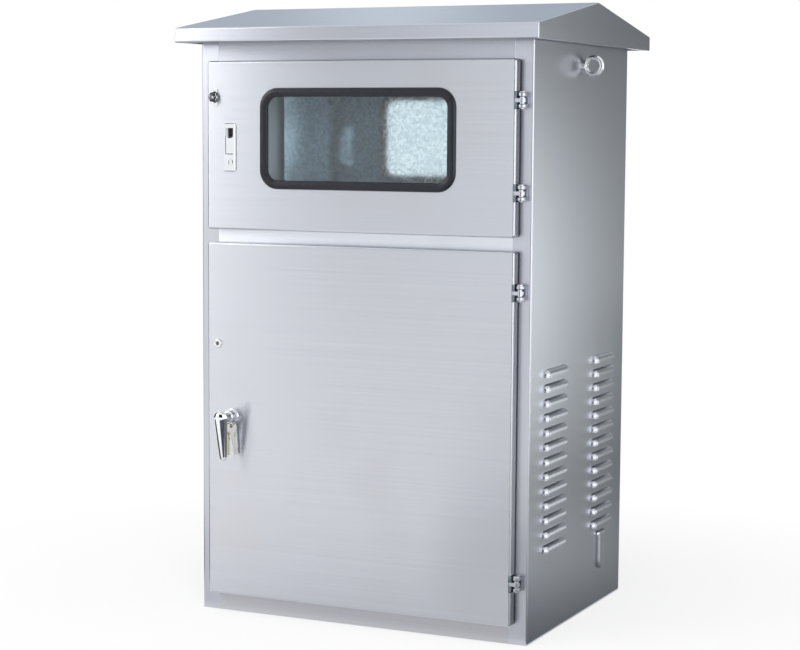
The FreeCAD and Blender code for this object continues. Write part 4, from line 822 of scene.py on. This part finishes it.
def thread(start, end, r, pitch, at, steps=28):
    """Threaded rod along Y through (x, z): the radius falls by a share of the pitch in a triangle wave
    along the helix."""
    rows = int(abs(end - start) / pitch * ROWS_A_PITCH) + 1
    y = np.linspace(start, end, rows)[:, None]
    angle = full_turn(steps)[None, :]
    wave = np.abs(((y / pitch - angle / (2 * np.pi)) % 1.0) * 2 - 1)
    radius = r - THREAD_DEEP * pitch * wave
    run_out = np.clip(np.abs(y - end) / pitch, 0, 1)
    radius = radius * run_out + (r - RUN_OUT_DEEP * pitch) * (1 - run_out)
    cap = np.broadcast_to(np.array([at[0], end, at[1]]), (1, steps, 3))
    return patch(np.concatenate([spun(y, radius, angle, at), cap]), close_columns=True)


earth = swapped(thread(*EARTH_SPAN, STUD_R, STUD_PITCH, EARTH_AT), (0, 2, 1))
new_piece("earth_terminal_stud", [earth], dull_brass, "cabinet", "earth_stud")

# %% [markdown]
# ## Lifting eyes
# A drop-forged lifting eye has a round collar, a short neck that flows into the ring, and a threaded
# shank through the wall. The ring is a torus, which has a formula of its own, and the collar and neck are
# round about the shank's axis, so they are one profile spun about it.

# %% Lifting eyes
EYE_Z = 930.0
WALL_X = 300.0
EYE_MIDDLE_X = WALL_X + 18.0
EYE_RING_R = 13.96
EYE_WIRE_R = 4.0
EYE_COLLAR_R = 10.0
EYE_COLLAR_T = 6.0
EYE_ROUND = 1.2
EYE_NECK_R = (8.4, 5.4)
EYE_NECK_T = 1.6
SHANK_LONG = 13.0


def ring_surface(side):
    """Torus in the plane of X and Z: a circle of the wire's radius carried round the ring's."""
    round_ring = full_turn(72)[:, None]
    round_wire = full_turn(28)[None, :]
    reach = EYE_RING_R + EYE_WIRE_R * np.cos(round_wire)
    x = side * (EYE_MIDDLE_X + reach * np.cos(round_ring))
    z = EYE_Z + reach * np.sin(round_ring)
    y = EYE_WIRE_R * np.sin(round_wire) + 0 * round_ring
    return patch(np.stack([x, y, z], axis=-1), close_rows=True, close_columns=True)


def eye_parts(side):
    """Ring, collar with its neck, and threaded shank of one lifting eye."""
    front = WALL_X + EYE_COLLAR_T
    neck_end = front + EYE_NECK_T
    edge = arc((front - EYE_ROUND, EYE_COLLAR_R - EYE_ROUND), (EYE_ROUND, EYE_ROUND), 90, 0, 6)
    neck = arc((neck_end, EYE_NECK_R[0]), (EYE_NECK_T, EYE_NECK_R[0] - EYE_NECK_R[1]), 180, 270, 8)
    collar = np.concatenate([[(WALL_X, 0.0), (WALL_X, EYE_COLLAR_R)], edge, neck, [(neck_end, 0.0)]])
    shank = thread(WALL_X, WALL_X - SHANK_LONG, STUD_R, STUD_PITCH, (0.0, EYE_Z))
    along_x = [swapped(made, (1, 0, 2)) for made in (turned(collar, (0.0, EYE_Z), 48), shank)]
    flip = np.array([side, 1, 1])
    return [ring_surface(side)] + [(points * flip, faces) for points, faces in along_x]


eyes = eye_parts(1) + eye_parts(-1)
new_piece("lifting_eyes", eyes, zinc_plate, "cabinet", "eyebolts")

# %% [markdown]
# ## Drop handle
# The handle is a polished casting: a rounded head that narrows to the end, oval in section and leaning
# back to the door. Its half-width follows a straight taper between two round ends. The right of its front
# is cut by two planes, and their ridges catch the light. It could be sculpted, but planes in a formula
# keep the ridges straight. The rose under it is turned, and its collar carries the key ring.

# %% Handle grip
HANDLE_AT = (-230.0, 340.0)
GRIP_MIDDLE = -286.2
GRIP_UP = 12.0
GRIP_DOWN = 72.0
GRIP_HALF_W = (12.0, 6.0)
GRIP_HALF_T = (7.0, 5.0)
GRIP_LEAN = 10.5
END_ROUND = 6.0
FACET_TURN = math.radians(26)
FACET_START = 1.05
EDGE_TURN = math.radians(52)
EDGE_START = 0.66
RIDGE_ROUND = 0.04
LEAST_ROUND = 1e-4


def grip_surface(rows=72, columns=72):
    """Oval sections down the grip: taper times a quarter-circle fall at each end. Their front is the smooth
    least of the oval and of two planes that are turned to the right."""
    share = (1 - np.cos(np.linspace(0, np.pi, rows))) / 2
    down = -GRIP_UP + (GRIP_UP + GRIP_DOWN) * share
    head = np.clip(-down / GRIP_UP, 0, 1)
    foot = np.clip((down - (GRIP_DOWN - END_ROUND)) / END_ROUND, 0, 1)
    fall = np.sqrt(np.clip(1 - head ** 2, 0, 1)) * np.sqrt(np.clip(1 - foot ** 2, 0, 1))
    taper = np.clip(down / GRIP_DOWN, 0, 1)
    half_w = ((GRIP_HALF_W[0] + (GRIP_HALF_W[1] - GRIP_HALF_W[0]) * taper) * fall)[:, None]
    half_t = ((GRIP_HALF_T[0] + (GRIP_HALF_T[1] - GRIP_HALF_T[0]) * taper) * fall)[:, None]
    angle = full_turn(columns)[None, :]
    across = half_w * np.cos(angle)
    facet = FACET_START * half_t - across * math.tan(FACET_TURN)
    past_edge = across - EDGE_START * half_w
    edge = facet - past_edge * (math.tan(EDGE_TURN) - math.tan(FACET_TURN))
    soft = RIDGE_ROUND * half_t + LEAST_ROUND
    planed = np.logaddexp(-facet / soft, -edge / soft)
    forward = -soft * np.logaddexp(-half_t * np.sin(angle) / soft, planed)
    x = HANDLE_AT[0] + across
    y = GRIP_MIDDLE + (GRIP_LEAN * down / GRIP_DOWN)[:, None] - forward
    z = HANDLE_AT[1] - down[:, None] + 0 * angle
    return patch(np.stack([x, y, z], axis=-1), close_columns=True)


# %% Handle spindle
COLLAR_FRONT = -262.0
SEAT_GAP = 0.2
SHOULDER_ROUND = 1.5
NECK_R = 7.0
FLARE_R = 7.4
FLARE_T = 4.0
SPINDLE_R = 4.0
SPINDLE_END = -207.5
TAIL_R = 3.0
TAIL_END = -196.5
TAIL_PITCH = 1.0


def handle_parts():
    """Grip, neck and spindle of the handle, with the thread that holds its cam."""
    seat = COLLAR_FRONT - SEAT_GAP
    shoulder = arc((seat - SHOULDER_ROUND, NECK_R), (SHOULDER_ROUND, SHOULDER_ROUND), 0, 90, 6)
    into_grip = [(GRIP_MIDDLE + FLARE_T, FLARE_R), (GRIP_MIDDLE, NECK_R)]
    neck = np.concatenate([[(seat, SPINDLE_R)], shoulder, into_grip])
    spindle = [(seat, SPINDLE_R), (SPINDLE_END, SPINDLE_R), (SPINDLE_END, TAIL_R)]
    tail = thread(SPINDLE_END, TAIL_END, TAIL_R, TAIL_PITCH, HANDLE_AT)
    return [grip_surface(), turned(neck, HANDLE_AT, 48), turned(spindle, HANDLE_AT, 32), tail]


new_piece("drop_handle_grip", handle_parts(), chrome, "drop_handle", "handle_lever")

# %% Handle rose
ROSE_R = 12.5
ROSE_FLAT = 1.5
ROSE_ROUND = 2.5
COLLAR_R = 10.0
LIP_ROUND = 0.8
ROSE_BORE_R = 4.05
BARREL_R = 8.0
BARREL_END = DOOR_FACE + 11.0
BARREL_BEVEL = 0.6


def rose_profile():
    """Closed profile of the fixed rose: quarter-round rim, collar with a round lip, and barrel behind."""
    rim = arc((DOOR_FACE - ROSE_FLAT, ROSE_R - ROSE_ROUND), (-ROSE_ROUND, ROSE_ROUND), 90, 0, 9)
    lip = arc((COLLAR_FRONT + LIP_ROUND, COLLAR_R - LIP_ROUND), (-LIP_ROUND, LIP_ROUND), 90, 0, 5)
    bore = [(COLLAR_FRONT, ROSE_BORE_R), (BARREL_END, ROSE_BORE_R)]
    barrel = [(BARREL_END, BARREL_R - BARREL_BEVEL), (BARREL_END - BARREL_BEVEL, BARREL_R)]
    back = [(DOOR_FACE, BARREL_R), (DOOR_FACE, ROSE_R)]
    return np.concatenate([back[1:], rim, lip, bore, barrel, back])


rose = turned(rose_profile(), HANDLE_AT)
new_piece("handle_rose", [rose], chrome, "lower_door", "handle_base")

# %% [markdown]
# ## Key ring
# Real key rings are split rings, two turns of flat wire pressed together. A plain torus would miss the
# seam that shows round the ring. A small rounded section carried along a helix of two turns has it.

# %% Key ring
RING_AT_Y = -256.0
RING_GAP = 0.02
RING_INNER_R = 12.5
RING_MIDDLE_Z = HANDLE_AT[1] + COLLAR_R + RING_GAP - RING_INNER_R
RING_R = 13.25
RING_WIRE = (0.72, 0.42)
RING_RISE = 0.88
SQUARENESS = 0.5
TWO_TURNS = 4 * np.pi


def squared(wave):
    """A cosine or sine drawn out towards a square: its sign times a power of its size."""
    return np.sign(wave) * np.abs(wave) ** SQUARENESS


def split_ring():
    """Two turns of flat wire: a superellipse section carried along a helix with a small rise."""
    turns = np.linspace(0, TWO_TURNS, 160)[:, None]
    around = full_turn(14)[None, :]
    flat = squared(np.cos(around)) * RING_WIRE[0]
    thick = squared(np.sin(around)) * RING_WIRE[1]
    x = HANDLE_AT[0] + (RING_R + flat) * np.sin(turns)
    z = RING_MIDDLE_Z - (RING_R + flat) * np.cos(turns)
    y = RING_AT_Y + RING_RISE * (turns / TWO_TURNS * 2 - 1) / 2 + thick
    grid = np.stack([x, y, z], axis=-1)
    ends = [np.broadcast_to(grid[end].mean(axis=0), (1, grid.shape[1], 3)) for end in (0, -1)]
    return patch(np.concatenate([ends[0], grid, ends[1]]), close_columns=True)


new_piece("split_key_ring", [split_ring()], nickel_plate, "lower_door", "key_ring")

# %% [markdown]
# ## Small door lock
# The little lock has a turned chrome face with a rounded rim and a shallow ring groove round its core,
# and a barrel through the door. Like the rose, it is round, so it is a closed profile spun about the
# lock's axis.

# %% Small door lock
SMALL_LOCK_AT = (-258.0, 462.0)
LOCK_FRONT = DOOR_FACE - 2.5
LOCK_END = DOOR_FACE + 20.0
LOCK_R = 7.5
LOCK_ROUND = 1.3
LOCK_GROOVE = (5.4, 5.0, 4.6, 4.2)
LOCK_GROOVE_FLOOR = DOOR_FACE - 2.0
LOCK_BORE_R = 3.45
LOCK_BARREL_R = 5.0
LOCK_BEVEL = 0.4


def small_lock_profile():
    """Closed profile: rim, face with a groove, bore, and barrel behind the door's face."""
    rim = arc((LOCK_FRONT + LOCK_ROUND, LOCK_R - LOCK_ROUND), (-LOCK_ROUND, LOCK_ROUND), 90, 0, 7)
    depths = (LOCK_FRONT, LOCK_GROOVE_FLOOR, LOCK_GROOVE_FLOOR, LOCK_FRONT)
    groove = list(zip(depths, LOCK_GROOVE))
    bore = [(LOCK_FRONT, LOCK_BORE_R), (LOCK_END, LOCK_BORE_R)]
    barrel = [(LOCK_END, LOCK_BARREL_R - LOCK_BEVEL), (LOCK_END - LOCK_BEVEL, LOCK_BARREL_R)]
    back = [(DOOR_FACE, LOCK_BARREL_R), (DOOR_FACE, LOCK_R)]
    return np.concatenate([rim, groove, bore, barrel, back, rim[:1]])


lock_face = turned(small_lock_profile(), SMALL_LOCK_AT, 48)
new_piece("small_lock_face", [lock_face], chrome, "lower_door", "lower_lock_body")
